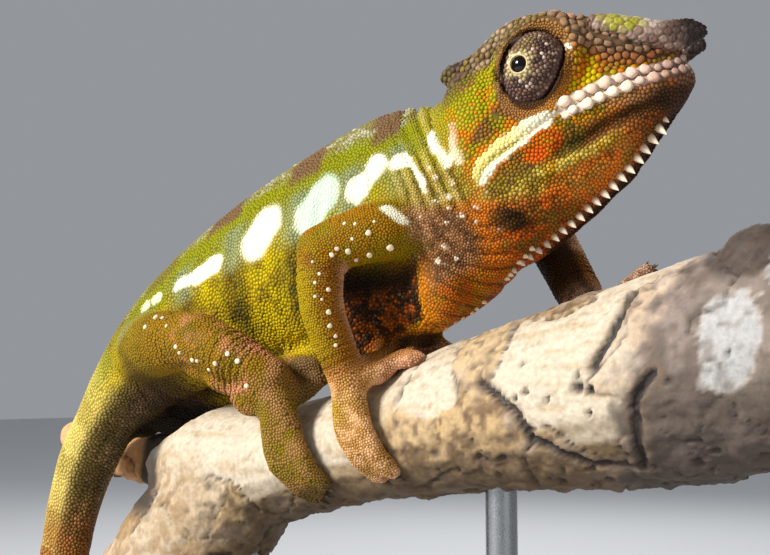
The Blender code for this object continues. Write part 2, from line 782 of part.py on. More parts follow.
def is_closed(mesh):
    bm = bmesh.new()
    bm.from_mesh(mesh)
    closed = all(edge.is_manifold for edge in bm.edges)
    bm.free()
    return closed


def thin_out(obj):
    """Drops most of the slivers that the cuts have left, as far as the piece stays closed."""
    whole = obj.data
    for share in KEPT_AFTER_CUTS:
        obj.data = whole.copy()
        thin = obj.modifiers.new("thin", "DECIMATE")
        thin.ratio = share
        apply_modifiers(obj)
        if is_closed(obj.data):
            return
    obj.data = whole


def build():
    clear_scene()
    base, rods = make_stand()
    bough = make_bough(rods)
    flesh = make_flesh(bough)
    limbs, claws = make_limbs(flesh, bough)
    horns = fit_horns(flesh)
    turrets, balls = fit_eyes(flesh)
    shaft, outer_coil, inner_coil, flesh = cut_tail(make_tail(), flesh)
    body = cut_trunk(flesh)
    for piece in [*body, *limbs]:
        thin_out(piece)

    paint([base], finish("powder_coated_steel", (0.03, 0.03, 0.032), 0.45))
    paint(rods, finish("brushed_steel", (0.55, 0.55, 0.54), 0.3, 1.0))
    paint([bough], finish("dead_wood", (0.42, 0.33, 0.23), 0.85))
    paint(body[:3], finish("head_skin", OLIVE, 0.6))
    paint([*body[3:], shaft, outer_coil, inner_coil], finish("body_skin", GREEN, 0.6))
    paint(limbs, finish("limb_skin", RUST, 0.6))
    paint(horns, finish("horn_scales", HORN_BROWN, 0.55))
    paint(turrets, finish("eye_turret", TURRET_BROWN, 0.5))
    paint(balls, finish("cornea", (0.01, 0.008, 0.006), 0.05))
    paint(claws, finish("claw_horn", (0.10, 0.07, 0.05), 0.35))


build()
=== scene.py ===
"""Life-size museum model of a male panther chameleon, gripping a cut length of dead bough on a display stand.

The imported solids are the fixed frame. One skin goes over all the flesh, and solid scales lie on the skin.
Lengths are in millimetres until a mesh is written. X runs along the bough to the head, Z is up.
"""
import json
import math

import bpy
import numpy as np
from mathutils import Matrix, Vector
from mathutils.bvhtree import BVHTree
from mathutils.kdtree import KDTree

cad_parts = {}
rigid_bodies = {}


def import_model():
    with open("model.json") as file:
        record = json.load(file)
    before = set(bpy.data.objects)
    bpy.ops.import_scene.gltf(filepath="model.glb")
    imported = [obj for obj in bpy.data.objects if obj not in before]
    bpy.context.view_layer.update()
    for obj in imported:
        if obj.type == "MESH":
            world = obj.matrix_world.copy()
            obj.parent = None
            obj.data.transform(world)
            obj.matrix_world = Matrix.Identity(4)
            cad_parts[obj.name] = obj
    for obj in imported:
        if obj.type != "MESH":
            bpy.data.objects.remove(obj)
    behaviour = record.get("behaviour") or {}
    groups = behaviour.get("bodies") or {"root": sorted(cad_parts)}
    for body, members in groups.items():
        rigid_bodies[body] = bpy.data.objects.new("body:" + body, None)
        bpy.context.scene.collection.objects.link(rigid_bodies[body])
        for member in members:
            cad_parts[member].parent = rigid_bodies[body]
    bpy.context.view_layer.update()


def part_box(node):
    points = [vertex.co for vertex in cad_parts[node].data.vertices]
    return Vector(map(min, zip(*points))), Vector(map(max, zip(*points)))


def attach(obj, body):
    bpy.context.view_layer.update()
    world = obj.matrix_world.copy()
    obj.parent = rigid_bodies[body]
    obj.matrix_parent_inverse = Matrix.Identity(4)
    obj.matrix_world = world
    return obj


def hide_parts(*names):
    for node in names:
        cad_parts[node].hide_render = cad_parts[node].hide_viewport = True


MM = 0.001
SIDES = ("right", "left")

# Flesh, by the part of the body that it belongs to. One skin replaces all of it.
FLESH = {
    "head": ["head", "casque"],
    "jaw": ["lower_jaw"],
    "neck": ["neck"],
    "trunk": ["trunk_front", "trunk_rear"],
    "tail": ["tail_base", "tail_shaft"],
    "coil": ["tail_coil_outer", "tail_coil_inner"],
    "arm": ["upper_arm_right", "upper_arm_left"],
    "forearm": ["forearm_right", "forearm_left"],
    "forefoot": [f"forefoot_{side}_{half}" for side in SIDES for half in ("outer", "inner")],
    "thigh": ["thigh_right", "thigh_left"],
    "shank": ["shank_right", "shank_left"],
    "hindfoot": [f"hindfoot_{side}_{half}" for side in SIDES for half in ("outer", "inner")],
}
PARTS = list(FLESH)

# The head's own frame: x forward along the mouth, y to its left, z up, with the mouth corner near 0.
HEAD_ORIGIN = (42.8, 3.0, 187.6)
HEAD_YAW = 20.0
HEAD_PITCH = 25.0
EYE_CENTRE = {"right": np.array((20.8, -8.9, 15.3)), "left": np.array((20.8, 8.9, 15.3))}
EYE_GAZE = {"right": (-0.25, -0.97, 0.05), "left": (0.38, 1.0, -0.16)}
EYE_RADIUS = 8.2
LID_OPENING = 1.85
# The orbit's opening is an oval that leans forward, and the turret is a little longer that way.
ORBIT_LEAN = 48.0
ORBIT_HALF = (8.7, 5.9)
ORBIT_SHIFT = -1.0
TURRET_STRETCH = 1.09
# Where the throat crest stands: x, y and z in the head's frame, from the chin to the chest.
CREST_LINE = ((44, -3.2, -5.2), (38.8, -4.2, -7.8), (29.8, -5.0, -12.6), (22.2, -4.9, -15.4),
              (14.9, -5.0, -17.8), (7.1, -4.8, -20.0), (0.9, -5.4, -22.0), (-5, -6.0, -23.6))
# The valley under the lower lip, painted dark as shade, and the pale ridge below it: x and z in the head's
# frame.
SHADED_FOLD = ((18.6, -4.6), (23.9, -5.0), (29.9, -4.1), (36.1, -3.8), (43, -3.7))
PALE_FOLD = ((13.9, -7.6), (20.3, -7.6), (26.4, -7.4), (31.6, -6.8), (36, -6.6))
MOUTH_LINE = ((-0.6, -3.6), (0.2, -2.2), (1.6, -1.0), (4, 0.0), (7.6, 0.5), (11.8, 1.2), (16, 2.1),
              (22, 3.1), (31.6, 3.3), (40.7, 2.7), (47.4, 1.7), (54, 1.6))
STRIPE_TOP = ((-1.0, -1.5), (-0.6, 0.2), (0.7, 1.9), (4.6, 3.3), (8.7, 4.4), (12.9, 5.2), (16.3, 5.6),
              (19.1, 5.1), (21.5, 4.2), (23, 3.2))
STRIPE_FOOT = ((-0.6, -4.0), (0.5, -4.6), (2.9, -3.4), (5.7, -1.5), (9.1, -0.6), (11.8, -0.6), (15.4, 0.5),
               (18.8, 1.2), (21, 2.6))
CANTHUS_EDGE = ((26, 24.0), (29, 20.5), (32, 15.0), (37, 9.8), (43, 6.2), (50, 5.0), (58, 4.0))

# Mid line of trunk and tail: X, Z, height above and below.
SPINE = ((46, 190, 20.5, 20.5), (36, 183, 27.5, 24.5), (23, 177, 30, 29), (8, 174, 28.8, 26),
         (-8, 171, 25.6, 23.5), (-25, 166, 22.4, 20.5), (-42, 158.5, 18.8, 17.6), (-59, 148, 15.4, 14.6),
         (-73, 136, 13, 12.2), (-83, 124.5, 11, 10.4), (-90, 112, 9.5, 9.2), (-95.5, 98, 8.1, 7.9),
         (-98, 86, 7, 7), (-99.6, 62, 5, 5))
COIL_CENTRE = (-82.5, 56)
# The right forearm's middle, as z, x and y: its pale front rim and yellow rear are painted beside this line.
FOREARM = ((142.5, 18.8, -17.6), (158, 14.8, -22), (171, 14.2, -21.5))
# The left arm's middle, as x and y: its shaded inner half lies to the right of this line.
LEFT_ARM = ((38, 12), (43, 29), (51, 26), (60.5, 18.5), (70, 14))
LIMBS = {
    "arm_right": ((30, -5, 174.5), (26, -15, 175), (14.2, -21.5, 171.2), (14.8, -22, 158),
                  (18.8, -17.6, 142.5)),
    "arm_left": ((38, 6, 176), (39, 18, 178), (43, 31, 181), (51, 26, 171), (60.5, 18.5, 160)),
    "leg_right": ((-60, -6, 150), (-42, -16, 151.5), (-25, -20.5, 152), (-14, -20.5, 147.5),
                  (-3.6, -18, 142)),
    "leg_left": ((-60, 6, 150), (-66, 20, 149), (-72, 33, 146), (-84, 32, 139), (-97, 27, 134.5)),
}

# Fuller places of the flesh, joined with it as rounded lumps: the middle, and the reach along x, y and z.
LUMPS = (((37.5, -6.8, 163), (6.5, 5.4, 9.5)), ((34, 6.0, 165), (6.5, 5.4, 8)),
         ((-24, -17.5, 147.0), (10, 5.0, 6.0)), ((-16, -18.5, 144.0), (9, 4.8, 6.2)),
         ((-9, -18.5, 139.0), (6.5, 4.6, 6.5)), ((-54, 12, 138), (14, 7, 7)),
         ((-69, 12, 129.5), (15, 7, 7.5)), ((6, 0, 151.5), (24, 7, 6.8)), ((-4.5, -8, 145.4), (9, 4, 3.4)),
         ((29.6, -8.2, 146.3), (4.8, 3.4, 2.9)))
# Where loose skin and toes lie a little off the solids: the middle, the reach, and the way along x, y and z.
NUDGES = (((44.5, 1, 217), 6.6, (-1.0, 0, -6.8)), ((68, 14, 163.5), 8, (0, 0, -3.4)),
          ((37, -13, 117), 15, (-5.5, 0, 2.2)), ((17, -12, 114), 17, (-6.5, 0, 2.0)),
          ((38, 15, 146), 14, (-6.5, -3.5, 0.5)), ((36, -3, 148.5), 9, (-5.0, -1.0, -0.8)),
          ((2, -6, 139), 10, (0, 0, 3.4)), ((10, 12, 136), 10, (-2.0, 0, 2.0)))

# Scale spacing over each part of the body, and the coat's depth over the skin.
SPACING = {"head": 0.9, "jaw": 0.92, "neck": 0.64, "trunk": 0.88, "tail": 0.96, "coil": 1.05, "arm": 0.62,
           "forearm": 0.62, "forefoot": 0.62, "thigh": 0.78, "shank": 0.74, "hindfoot": 0.68}
COAT_DEPTH = 0.38
INFLATE = 0.3
SKIN_VOXEL = 0.86


# ---- numbers and arrays

def lengths(vectors):
    return np.sqrt((vectors * vectors).sum(axis=-1, keepdims=True))


def units(vectors):
    return vectors / np.maximum(lengths(vectors), 1e-9)


def ramp(low, high, x):
    t = np.clip((x - low) / (high - low), 0, 1)
    return t * t * (3 - 2 * t)


def band(x, rise_from, rise_to, fall_from, fall_to):
    """1 between the two slopes, 0 outside them"""
    return ramp(rise_from, rise_to, x) * ramp(fall_to, fall_from, x)


def hump(x, centre, width):
    return np.exp(-(((x - centre) / width) ** 2))


def line_at(line, x):
    """Height of a line given by its x, z points, at each x"""
    points = sorted(line)
    return np.interp(x, [p[0] for p in points], [p[1] for p in points])


def cell_values(cells, seed):
    """A steady number from 0 to 1 for each whole-number cell"""
    key = cells.astype(np.int64).astype(np.uint64)
    mixed = (key[..., 0] * np.uint64(73856093)) ^ (key[..., 1] * np.uint64(19349663))
    mixed ^= (key[..., 2] * np.uint64(83492791)) ^ np.uint64(seed * 2654435761 % 2**32)
    mixed = (mixed ^ (mixed >> np.uint64(15))) * np.uint64(2246822519)
    mixed = (mixed ^ (mixed >> np.uint64(13))) * np.uint64(3266489917)
    return ((mixed >> np.uint64(9)) & np.uint64(0xFFFFF)).astype(float) / 0xFFFFF


def cloud(points, size, seed=0):
    """Smooth noise from 0 to 1 whose lumps are about one size across"""
    place = points / size + 500.0
    base = np.floor(place)
    part = place - base
    part = part * part * (3 - 2 * part)
    total = 0
    for corner in range(8):
        step = np.array([corner & 1, corner >> 1 & 1, corner >> 2 & 1])
        share = np.where(step, part, 1 - part).prod(axis=-1)
        total = total + share * cell_values(base + step, seed)
    return total


def clouds(points, size, seed=0, octaves=3):
    """Several sizes of smooth noise added up, still from 0 to 1"""
    total, weight = 0, 0
    for n in range(octaves):
        total = total + cloud(points, size / 2**n, seed + n) / 2**n
        weight += 1 / 2**n
    return total / weight


def gap_to_path(places, path):
    """Distance of each place to a path of points, and how far along the path its nearest point lies"""
    path = np.array(path, float)
    best = np.full(len(places), 1e9)
    along = np.zeros(len(places))
    run = 0.0
    for start, end in zip(path[:-1], path[1:]):
        step = end - start
        size = math.sqrt(float(step @ step))
        t = np.clip(((places - start) @ step) / size**2, 0, 1)
        gap = lengths(places - start - t[:, None] * step)[:, 0]
        nearer = gap < best
        best = np.where(nearer, gap, best)
        along = np.where(nearer, run + t * size, along)
        run += size
    return best, along


# ---- where a point lies on the animal

def head_axes():
    turned_left = Matrix.Rotation(math.radians(HEAD_YAW), 3, "Z")
    return np.array(turned_left @ Matrix.Rotation(math.radians(-HEAD_PITCH), 3, "Y"))


HEAD_AXES = head_axes()


def to_head(points):
    return (points - np.array(HEAD_ORIGIN)) @ HEAD_AXES


def from_head(points):
    return np.asarray(points, float) @ HEAD_AXES.T + np.array(HEAD_ORIGIN)


def head_direction(direction):
    return units(np.asarray(direction, float) @ HEAD_AXES.T)


def spine_legs():
    """Each leg of the mid line: its start, its step, its length, and the rows of both ends"""
    for row, following in zip(SPINE[:-1], SPINE[1:]):
        start = np.array(row[:2], float)
        step = np.array(following[:2], float) - start
        yield start, step, math.hypot(*step), row, following


def body_place(points):
    """Distance along trunk and tail from the neck, and height from the belly, -1, to the back, +1"""
    flat = points[:, [0, 2]]
    best = np.full(len(points), 1e9)
    along = np.zeros(len(points))
    height = np.zeros(len(points))
    run = 0.0
    for start, step, size, row, following in spine_legs():
        t = ((flat - start) @ step) / size**2
        t = np.minimum(t, 1) if row is SPINE[0] else np.clip(t, 0, 1)
        off = flat - start - t[:, None] * step
        gap = lengths(off)[:, 0]
        rise = (step[1] * off[:, 0] - step[0] * off[:, 1]) / size
        share = np.clip(t, 0, 1)
        above, below = (row[n] + (following[n] - row[n]) * share for n in (2, 3))
        reach = np.where(rise > 0, above, below)
        nearer = gap < best
        best = np.where(nearer, gap, best)
        along = np.where(nearer, run + t * size, along)
        height = np.where(nearer, rise / reach, height)
        run += size
    return along, height


def limb_place(points):
    """For each point the nearest limb's distance along it, from the body outwards"""
    best = np.full(len(points), 1e9)
    along = np.zeros(len(points))
    for path in LIMBS.values():
        gap, run = gap_to_path(points, path)
        last = np.array(path[-1], float)
        beyond = lengths(points - last)[:, 0]
        total = sum(math.dist(a, b) for a, b in zip(path[:-1], path[1:]))
        run = np.where(run >= total - 0.01, total + beyond, run)
        nearer = gap < best
        best = np.where(nearer, gap, best)
        along = np.where(nearer, run, along)
    return along


# ---- meshes held as arrays

def mesh_arrays(mesh):
    mesh.calc_loop_triangles()
    points = np.empty(len(mesh.vertices) * 3, np.float32)
    mesh.vertices.foreach_get("co", points)
    triangles = np.empty(len(mesh.loop_triangles) * 3, np.int32)
    mesh.loop_triangles.foreach_get("vertices", triangles)
    return points.reshape(-1, 3).astype(float) / MM, triangles.reshape(-1, 3)


def node_arrays(names):
    """The named solids' points and triangles, with the number of each triangle's node"""
    points, triangles, owners = [], [], []
    count = 0
    for number, name in enumerate(names):
        p, t = mesh_arrays(bpy.data.objects[name].data)
        points.append(p)
        triangles.append(t + count)
        owners.append(np.full(len(t), number))
        count += len(p)
    return np.concatenate(points), np.concatenate(triangles), np.concatenate(owners)


def solid_surface(names):
    points, triangles, _ = node_arrays(names)
    return Surface(points, triangles)


def feet_surface():
    return solid_surface([name for part in PARTS for name in FLESH[part] if "foot" in name])


def write_mesh(name, points, triangles):
    mesh = bpy.data.meshes.new(name)
    mesh.vertices.add(len(points))
    mesh.vertices.foreach_set("co", (points * MM).astype(np.float32).ravel())
    mesh.loops.add(triangles.size)
    mesh.loops.foreach_set("vertex_index", triangles.astype(np.int32).ravel())
    mesh.polygons.add(len(triangles))
    mesh.polygons.foreach_set("loop_start", np.arange(0, triangles.size, 3, dtype=np.int32))
    mesh.update(calc_edges=True)
    mesh.shade_smooth()
    return mesh


def paint(mesh, colours):
    """Write the markings on the mesh's points"""
    layer = mesh.attributes.new("markings", "FLOAT_COLOR", "POINT")
    full = np.ones((len(colours), 4), np.float32)
    full[:, :3] = colours
    layer.data.foreach_set("color", full.ravel())


def piece(name, points, triangles, colours, material, slot, replaces=()):
    """A visible piece of the model, with its markings, riding on the one body"""
    mesh = write_mesh(name, points, triangles)
    if colours is not None:
        paint(mesh, colours)
    mesh.materials.append(material)
    made = bpy.data.objects.new(name, mesh)
    bpy.context.scene.collection.objects.link(made)
    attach(made, "root")
    if replaces:
        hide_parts(*replaces)
    return made


def shaped(points, triangles, modifiers):
    """The mesh after a list of modifiers, as arrays"""
    mesh = write_mesh("working", points, triangles)
    thing = bpy.data.objects.new("working", mesh)
    bpy.context.scene.collection.objects.link(thing)
    for kind, settings in modifiers:
        modifier = thing.modifiers.new(kind, kind)
        for key, value in settings.items():
            setattr(modifier, key, value)
    result = bpy.data.meshes.new_from_object(thing.evaluated_get(bpy.context.evaluated_depsgraph_get()))
    arrays = mesh_arrays(result)
    bpy.data.objects.remove(thing)
    bpy.data.meshes.remove(mesh)
    bpy.data.meshes.remove(result)
    return arrays


def normals_of(points, triangles):
    a, b, c = (points[triangles[:, n]] for n in range(3))
    faces = np.cross(b - a, c - a)
    total = np.zeros_like(points)
    for corner in range(3):
        for axis in range(3):
            total[:, axis] += np.bincount(triangles[:, corner], faces[:, axis], len(points))
    return units(total)


class Web:
    """The edges of a mesh, for averaging values over neighbours"""

    def __init__(self, count, triangles):
        pairs = np.concatenate([triangles[:, [0, 1]], triangles[:, [1, 2]], triangles[:, [2, 0]]])
        pairs = np.unique(np.sort(pairs, axis=1), axis=0)
        self.near = np.concatenate([pairs[:, 0], pairs[:, 1]])
        self.far = np.concatenate([pairs[:, 1], pairs[:, 0]])
        self.count = count
        self.links = np.maximum(np.bincount(self.near, minlength=count), 1)

    def mean(self, values):
        columns = [np.bincount(self.near, values[self.far, n], self.count) for n in range(values.shape[1])]
        return np.stack(columns, axis=1) / self.links[:, None]

    def relaxed(self, points, rounds, strength=None):
        """Smoothing that doesn't shrink: each round pulls in, then pushes out a little more"""
        for _ in range(rounds):
            for push in (0.55, -0.57):
                step = (self.mean(points) - points) * push
                points = points + (step if strength is None else step * strength[:, None])
        return points


class Surface:
    """A skin that answers where its nearest point is, with blended normals and values"""

    def __init__(self, points, triangles):
        self.points = points
        self.triangles = triangles
        self.normals = normals_of(points, triangles)
        self.tree = BVHTree.FromPolygons(points.tolist(), triangles.tolist(), all_triangles=True)

    def nearest(self, places):
        spots = np.empty_like(places)
        faces = np.empty(len(places), int)
        find = self.tree.find_nearest
        for n, place in enumerate(places.tolist()):
            spot, _, face, _ = find(place)
            spots[n] = spot
            faces[n] = face
        return spots, faces

    def gap(self, places):
        """Distance of each place to the surface"""
        return lengths(self.nearest(places)[0] - places)[:, 0]

    def shares(self, spots, faces):
        """How much of each corner goes into a spot on its face"""
        a, b, c = (self.points[self.triangles[faces, n]] for n in range(3))
        ab, ac, ap = b - a, c - a, spots - a
        d00, d01, d11 = (ab * ab).sum(1), (ab * ac).sum(1), (ac * ac).sum(1)
        d20, d21 = (ap * ab).sum(1), (ap * ac).sum(1)
        scale = np.maximum(d00 * d11 - d01 * d01, 1e-12)
        v = np.clip((d11 * d20 - d01 * d21) / scale, 0, 1)
        w = np.clip((d00 * d21 - d01 * d20) / scale, 0, 1)
        return np.stack([np.clip(1 - v - w, 0, 1), v, w], axis=1)

    def blend(self, values, faces, shares):
        corners = values[self.triangles[faces]]
        return (corners * shares[:, :, None]).sum(axis=1)


# ---- skin

def share_of(weights, *parts):
    """How much each point belongs to these parts of the body together"""
    return sum(weights[:, PARTS.index(part)] for part in parts)


def part_weights(surface_points, source, rounds, web):
    """How much each point belongs to each part of the body, softened over the joins"""
    part_of = np.array([number for number, part in enumerate(PARTS) for _ in FLESH[part]])
    points, triangles, owners = source
    _, faces = Surface(points, triangles).nearest(surface_points)
    weights = np.eye(len(PARTS))[part_of[owners[faces]]]
    for _ in range(rounds):
        weights = web.mean(weights) * 0.6 + weights * 0.4
    return weights


def orbit_axes(name):
    """In the head's frame: the long axis of the orbit's oval, its short axis, and straight out"""
    lean = math.radians(ORBIT_LEAN)
    out = units(np.array([0.0, -1.0 if name == "right" else 1.0, 0.05]))
    long = units(np.array([math.sin(lean), 0.0, math.cos(lean)]))
    long = units(long - out * (long @ out))
    return long, np.cross(out, long), out


def orbit_place(points, name):
    """How far each point is from the eye as a share of the orbit's oval, and how far out"""
    off = to_head(points) - EYE_CENTRE[name]
    long, short, out = orbit_axes(name)
    aside = off @ short - orbit_shift(name)
    share = np.sqrt((off @ long / ORBIT_HALF[0]) ** 2 + (aside / ORBIT_HALF[1]) ** 2)
    return share, off @ out


def orbit_shift(name):
    """The orbit's opening lies a little below the eye's middle, to the front"""
    return ORBIT_SHIFT if name == "right" else -ORBIT_SHIFT


def tube_faces(rings, around, closed=False):
    """Triangles between the rings of a tube, each ring with that many points"""
    triangles = []
    for ring in range(rings if closed else rings - 1):
        for n in range(around):
            a, b = ring * around + n, ring * around + (n + 1) % around
            c, d = (a + around) % (rings * around), (b + around) % (rings * around)
            triangles += [(a, b, d), (a, d, c)]
    return np.array(triangles)


def lid_roll(name, beyond, reach, thick):
    """A rounded skin fold round the orbit, to be joined with the head: how far beyond the oval, how far from
    the eye's middle, and its radius"""
    long, short, out = orbit_axes(name)
    rings = []
    for n in range(56):
        turn = n / 56 * 2 * math.pi
        flat = (ORBIT_HALF[0] + beyond) * math.cos(turn) * long
        flat = flat + ((ORBIT_HALF[1] + beyond) * math.sin(turn) + orbit_shift(name)) * short
        rise = math.sqrt(max(reach**2 - float(flat @ flat), (1.9 + 0.5 * math.cos(turn)) ** 2))
        around = units(flat)
        for m in range(12):
            lean = m / 12 * 2 * math.pi
            rings.append(flat + out * rise + thick * (around * math.cos(lean) + out * math.sin(lean)))
    triangles = tube_faces(56, 12, closed=True)
    points = from_head(np.array(rings) + EYE_CENTRE[name])
    outward = normals_of(points, triangles)
    middle = points.reshape(56, 12, 3).mean(axis=1).repeat(12, axis=0)
    return points, triangles if ((points - middle) * outward).sum() > 0 else triangles[:, ::-1]


def lump(middle, reach):
    points, triangles = turned(arc(1.0, 179.5, 0.5, 24), np.zeros(3), np.array([0.0, 0.0, 1.0]), 32)
    return points * np.array(reach) + np.array(middle), triangles


def nudged(points):
    out = points.copy()
    for middle, reach, way in NUDGES:
        out += np.exp(-((lengths(points - np.array(middle)) / reach) ** 2)) * np.array(way)
    return out


def crest_height(x):
    """The height of the throat crest's line in the head's frame"""
    return line_at([(place[0], place[2]) for place in CREST_LINE], x)


def head_relief(points):
    """How far the head's own folds stand out from the smooth form"""
    x, y, z = to_head(points).T
    side = np.abs(y)
    near_head = band(x, -8, 0, 54, 60)
    out = np.zeros(len(points))
    for name in SIDES:
        share, _ = orbit_place(points, name)
        out -= 0.25 * hump(share, 1.75, 0.12) * (side > 6)
    lip = z - line_at(MOUTH_LINE, x)
    lips_here = ramp(0, 3, x) * ramp(3, 6, side + x * 0.12) * near_head
    out += lips_here * (0.35 * hump(lip, 1.5, 1.1) + 0.3 * hump(lip, -1.4, 1.0) - 0.6 * hump(lip, 0, 0.45))
    # the valley under the lower lip, painted dark as shade, with the ridge below it, and the line that the
    # crest stands on
    jaw = ramp(3, 6, side)
    valley, _ = gap_to_path(np.stack([x, z], axis=1), SHADED_FOLD)
    ridge, _ = gap_to_path(np.stack([x, z], axis=1), PALE_FOLD)
    out += jaw * (0.55 * hump(ridge, 0, 1.3) - 1.1 * hump(valley, 0, 1.4)) * ramp(48, 44, x)
    crest = (y < 0) * band(x, -9, -4, 44, 48)
    out -= crest * 0.6 * hump(z - crest_height(x), -1.9, 1.2)
    canthus = z - line_at(CANTHUS_EDGE, x)
    out -= 0.7 * hump(canthus, -1.6, 1.4) * band(x, 27, 33, 50, 60) * ramp(4, 7, side)
    out += 1.0 * hump(canthus, 3.4, 1.7) * band(x, 29, 33, 46, 50) * ramp(3, 6, side)
    corner = hump(x, -2.5, 2.2) * hump(z, -2, 6) * ramp(9, 12, side)
    return out - 0.6 * corner


def fold_place(points):
    """Distance of a neck or throat point from the mouth corner, which the skin folds run around"""
    x, _, z = to_head(points).T
    back = np.maximum(1.0 - x, 0)
    below = np.maximum(-5.0 - z, 0)
    return np.sqrt(back**2 + below**2)


def fold_relief(points, weights):
    neck = share_of(weights, "neck") + 0.35 * share_of(weights, "jaw")
    around = fold_place(points)
    wander = 2.2 * (clouds(points, 9, 31) - 0.5)
    phase = (around + wander) / 2.9 * 2 * math.pi
    depth = 0.42 * neck * band(around, 4, 7, 14, 26)
    return depth * (np.abs(np.sin(phase / 2)) * 2 - 1.3)


def flank_relief(points, weights, normals):
    """Low ribs and creases of the loose flank skin, and creases at the limb joints"""
    along, height = body_place(points)
    trunk = share_of(weights, "trunk")
    side = np.abs(normals[:, 1])
    ribs = np.sin((along + 5 * height + 3 * (clouds(points, 14, 5) - 0.5)) / 5.6 * 2 * math.pi)
    out = 0.2 * trunk * side * ribs * band(height, -0.95, -0.5, 0.3, 0.8)
    creases = np.sin((along + 9 * clouds(points, 8, 9)) / 1.9 * 2 * math.pi)
    out += 0.13 * trunk * creases * ramp(0.2, -0.3, height)
    limb = limb_place(points)
    limb_share = share_of(weights, "arm", "forearm", "thigh", "shank")
    wrinkle = np.sin((limb + 2.5 * clouds(points, 6, 13)) / 1.7 * 2 * math.pi)
    bend = hump(limb, 31, 4) + 2.2 * hump(limb, 53, 5) + 0.35
    return out + 0.15 * limb_share * wrinkle * bend


def body_relief(points, weights):
    """The fuller rump, the hollows under the tail's root and behind the arm, and the crease over the toes"""
    along, height = body_place(points)
    trunk = share_of(weights, "trunk")
    tail = share_of(weights, "tail")
    upper, under = ramp(0.0, 0.6, height), ramp(-0.1, -0.7, height)
    out = (trunk + tail) * upper * (2.3 * hump(along, 112, 26) + 1.3 * band(along, 142, 160, 190, 215))
    out -= (trunk + tail) * under * (3.6 * hump(along, 136, 16) + 3.0 * hump(along, 158, 16))
    x, y, z = points.T
    hollow = band(x, 13, 18, 29, 31.5) * ramp(171, 167, z) * ramp(146, 151, z) * ramp(3, 6, np.abs(y))
    gap = hump(z - line_at(TOE_TOP, x), 1.4, 1.3) * band(x, 23, 26, 36, 38) * ramp(-15, -13, y)
    return out - 1.9 * hollow * trunk - 1.3 * gap * ramp(4, 1, y)


def make_skin():
    """One skin over all flesh nodes: joined, smoothed, set in by the coat's depth, then given its folds"""
    names = [name for part in PARTS for name in FLESH[part]]
    points, triangles, labels = node_arrays(names)
    source = (nudged(points), triangles, labels)
    parts = [(source[0] + normals_of(source[0], source[1]) * INFLATE, source[1])]
    parts += [lid_roll(side, *roll) for side in SIDES for roll in ((0.95, 9.2, 1.15), (2.9, 8.9, 1.7))]
    parts += [lump(*full) for full in LUMPS]
    remesh = ("REMESH", {"mode": "VOXEL", "voxel_size": SKIN_VOXEL * MM, "use_smooth_shade": True})
    points, triangles = shaped(*joined(parts), [remesh])
    web = Web(len(points), triangles)
    weights = part_weights(points, source, 14, web)
    slim = 0.45 * share_of(weights, "forefoot", "hindfoot", "coil")
    for side in SIDES:
        share, height = orbit_place(points, side)
        slim = np.maximum(slim, 0.8 * hump(share, 1.1, 0.25) * (height > 0))
    points = web.relaxed(points, 26, 1 - slim)
    normals = normals_of(points, triangles)
    points = points - normals * (INFLATE + COAT_DEPTH)
    relief = head_relief(points) + fold_relief(points, weights) + flank_relief(points, weights, normals)
    relief = relief + body_relief(points, weights)
    points = points + normals * relief[:, None]
    # inside the orbit's oval the skin goes under the turret
    for side in SIDES:
        share, height = orbit_place(points, side)
        inside = ramp(0.99, 0.92, share) * (height > 0)
        centre = from_head(EYE_CENTRE[side])
        sunk = centre + units(points - centre) * np.minimum(lengths(points - centre), EYE_RADIUS - 0.8)
        points = points + (sunk - points) * inside[:, None]
    skin = Surface(points, triangles)
    skin.weights = weights
    skin.names = names
    return skin


# ---- markings, shared by skin and scales

def tone(red, green, blue):
    """A paint colour given from 0 to 255, as linear light"""
    c = np.array([red, green, blue]) / 255
    return np.where(c <= 0.04045, c / 12.92, ((c + 0.055) / 1.055) ** 2.4)


LIME = tone(134, 132, 0)
YELLOW_GREEN = tone(184, 160, 0)
OLIVE = tone(122, 98, 6)
DARK_OLIVE = tone(70, 60, 12)
SADDLE = tone(116, 86, 54)
PALE_GREY = tone(186, 180, 158)
MINT = tone(186, 214, 182)
WHITE = tone(236, 228, 196)
LIP_WHITE = tone(242, 220, 192)
TEAL = tone(132, 140, 98)
ORANGE = tone(206, 106, 4)
RUST = tone(166, 80, 12)
RED_ORANGE = tone(212, 84, 6)
CREAM = tone(240, 218, 134)
OCHRE = tone(154, 104, 0)
GOLD = tone(190, 134, 2)
PINK = tone(196, 142, 112)
PURPLE_GREY = tone(134, 104, 76)
HORN_BROWN = tone(112, 84, 70)
BLOTCH = tone(44, 32, 10)
TAIL_GREEN = tone(202, 180, 92)
TAIL_RUST = tone(158, 92, 34)
CHEEK_GREEN = tone(158, 150, 2)
JAW_GREEN = tone(198, 182, 74)


def over(colours, colour, mask):
    """Lay one colour over the others where the mask says"""
    return colours + (colour - colours) * np.clip(mask, 0, 1)[:, None]


class Paint:
    """Colours laid over one another, each where its mask says"""

    def __init__(self, ground, chance=None):
        self.colours = ground
        self.chance = chance

    def lay(self, colour, mask):
        self.colours = over(self.colours, colour, mask)
        return self.colours

    def mix(self, share, colour, other, mask):
        """Lay one colour on about that share of the scales and the other on the rest"""
        return self.lay(mixed(self.chance, share, colour, other), mask)


def few(chance, share):
    """1 for about that share of the scales, with a soft edge"""
    return ramp(share + 0.21, share - 0.21, chance)


def mixed(chance, share, colour, other):
    """One colour for about that share of the scales and the other for the rest"""
    return other + (colour - other) * few(chance, share)[:, None]


def patch(u, v, centre, radii, soft=0.35, tilt=0.0):
    """An oval patch on two coordinates, 1 inside"""
    du, dv = u - centre[0], v - centre[1]
    turn = math.radians(tilt)
    du, dv = du * math.cos(turn) + dv * math.sin(turn), dv * math.cos(turn) - du * math.sin(turn)
    reach = np.sqrt((du / radii[0]) ** 2 + (dv / radii[1]) ** 2)
    return ramp(1 + soft, 1 - soft * 0.3, reach)


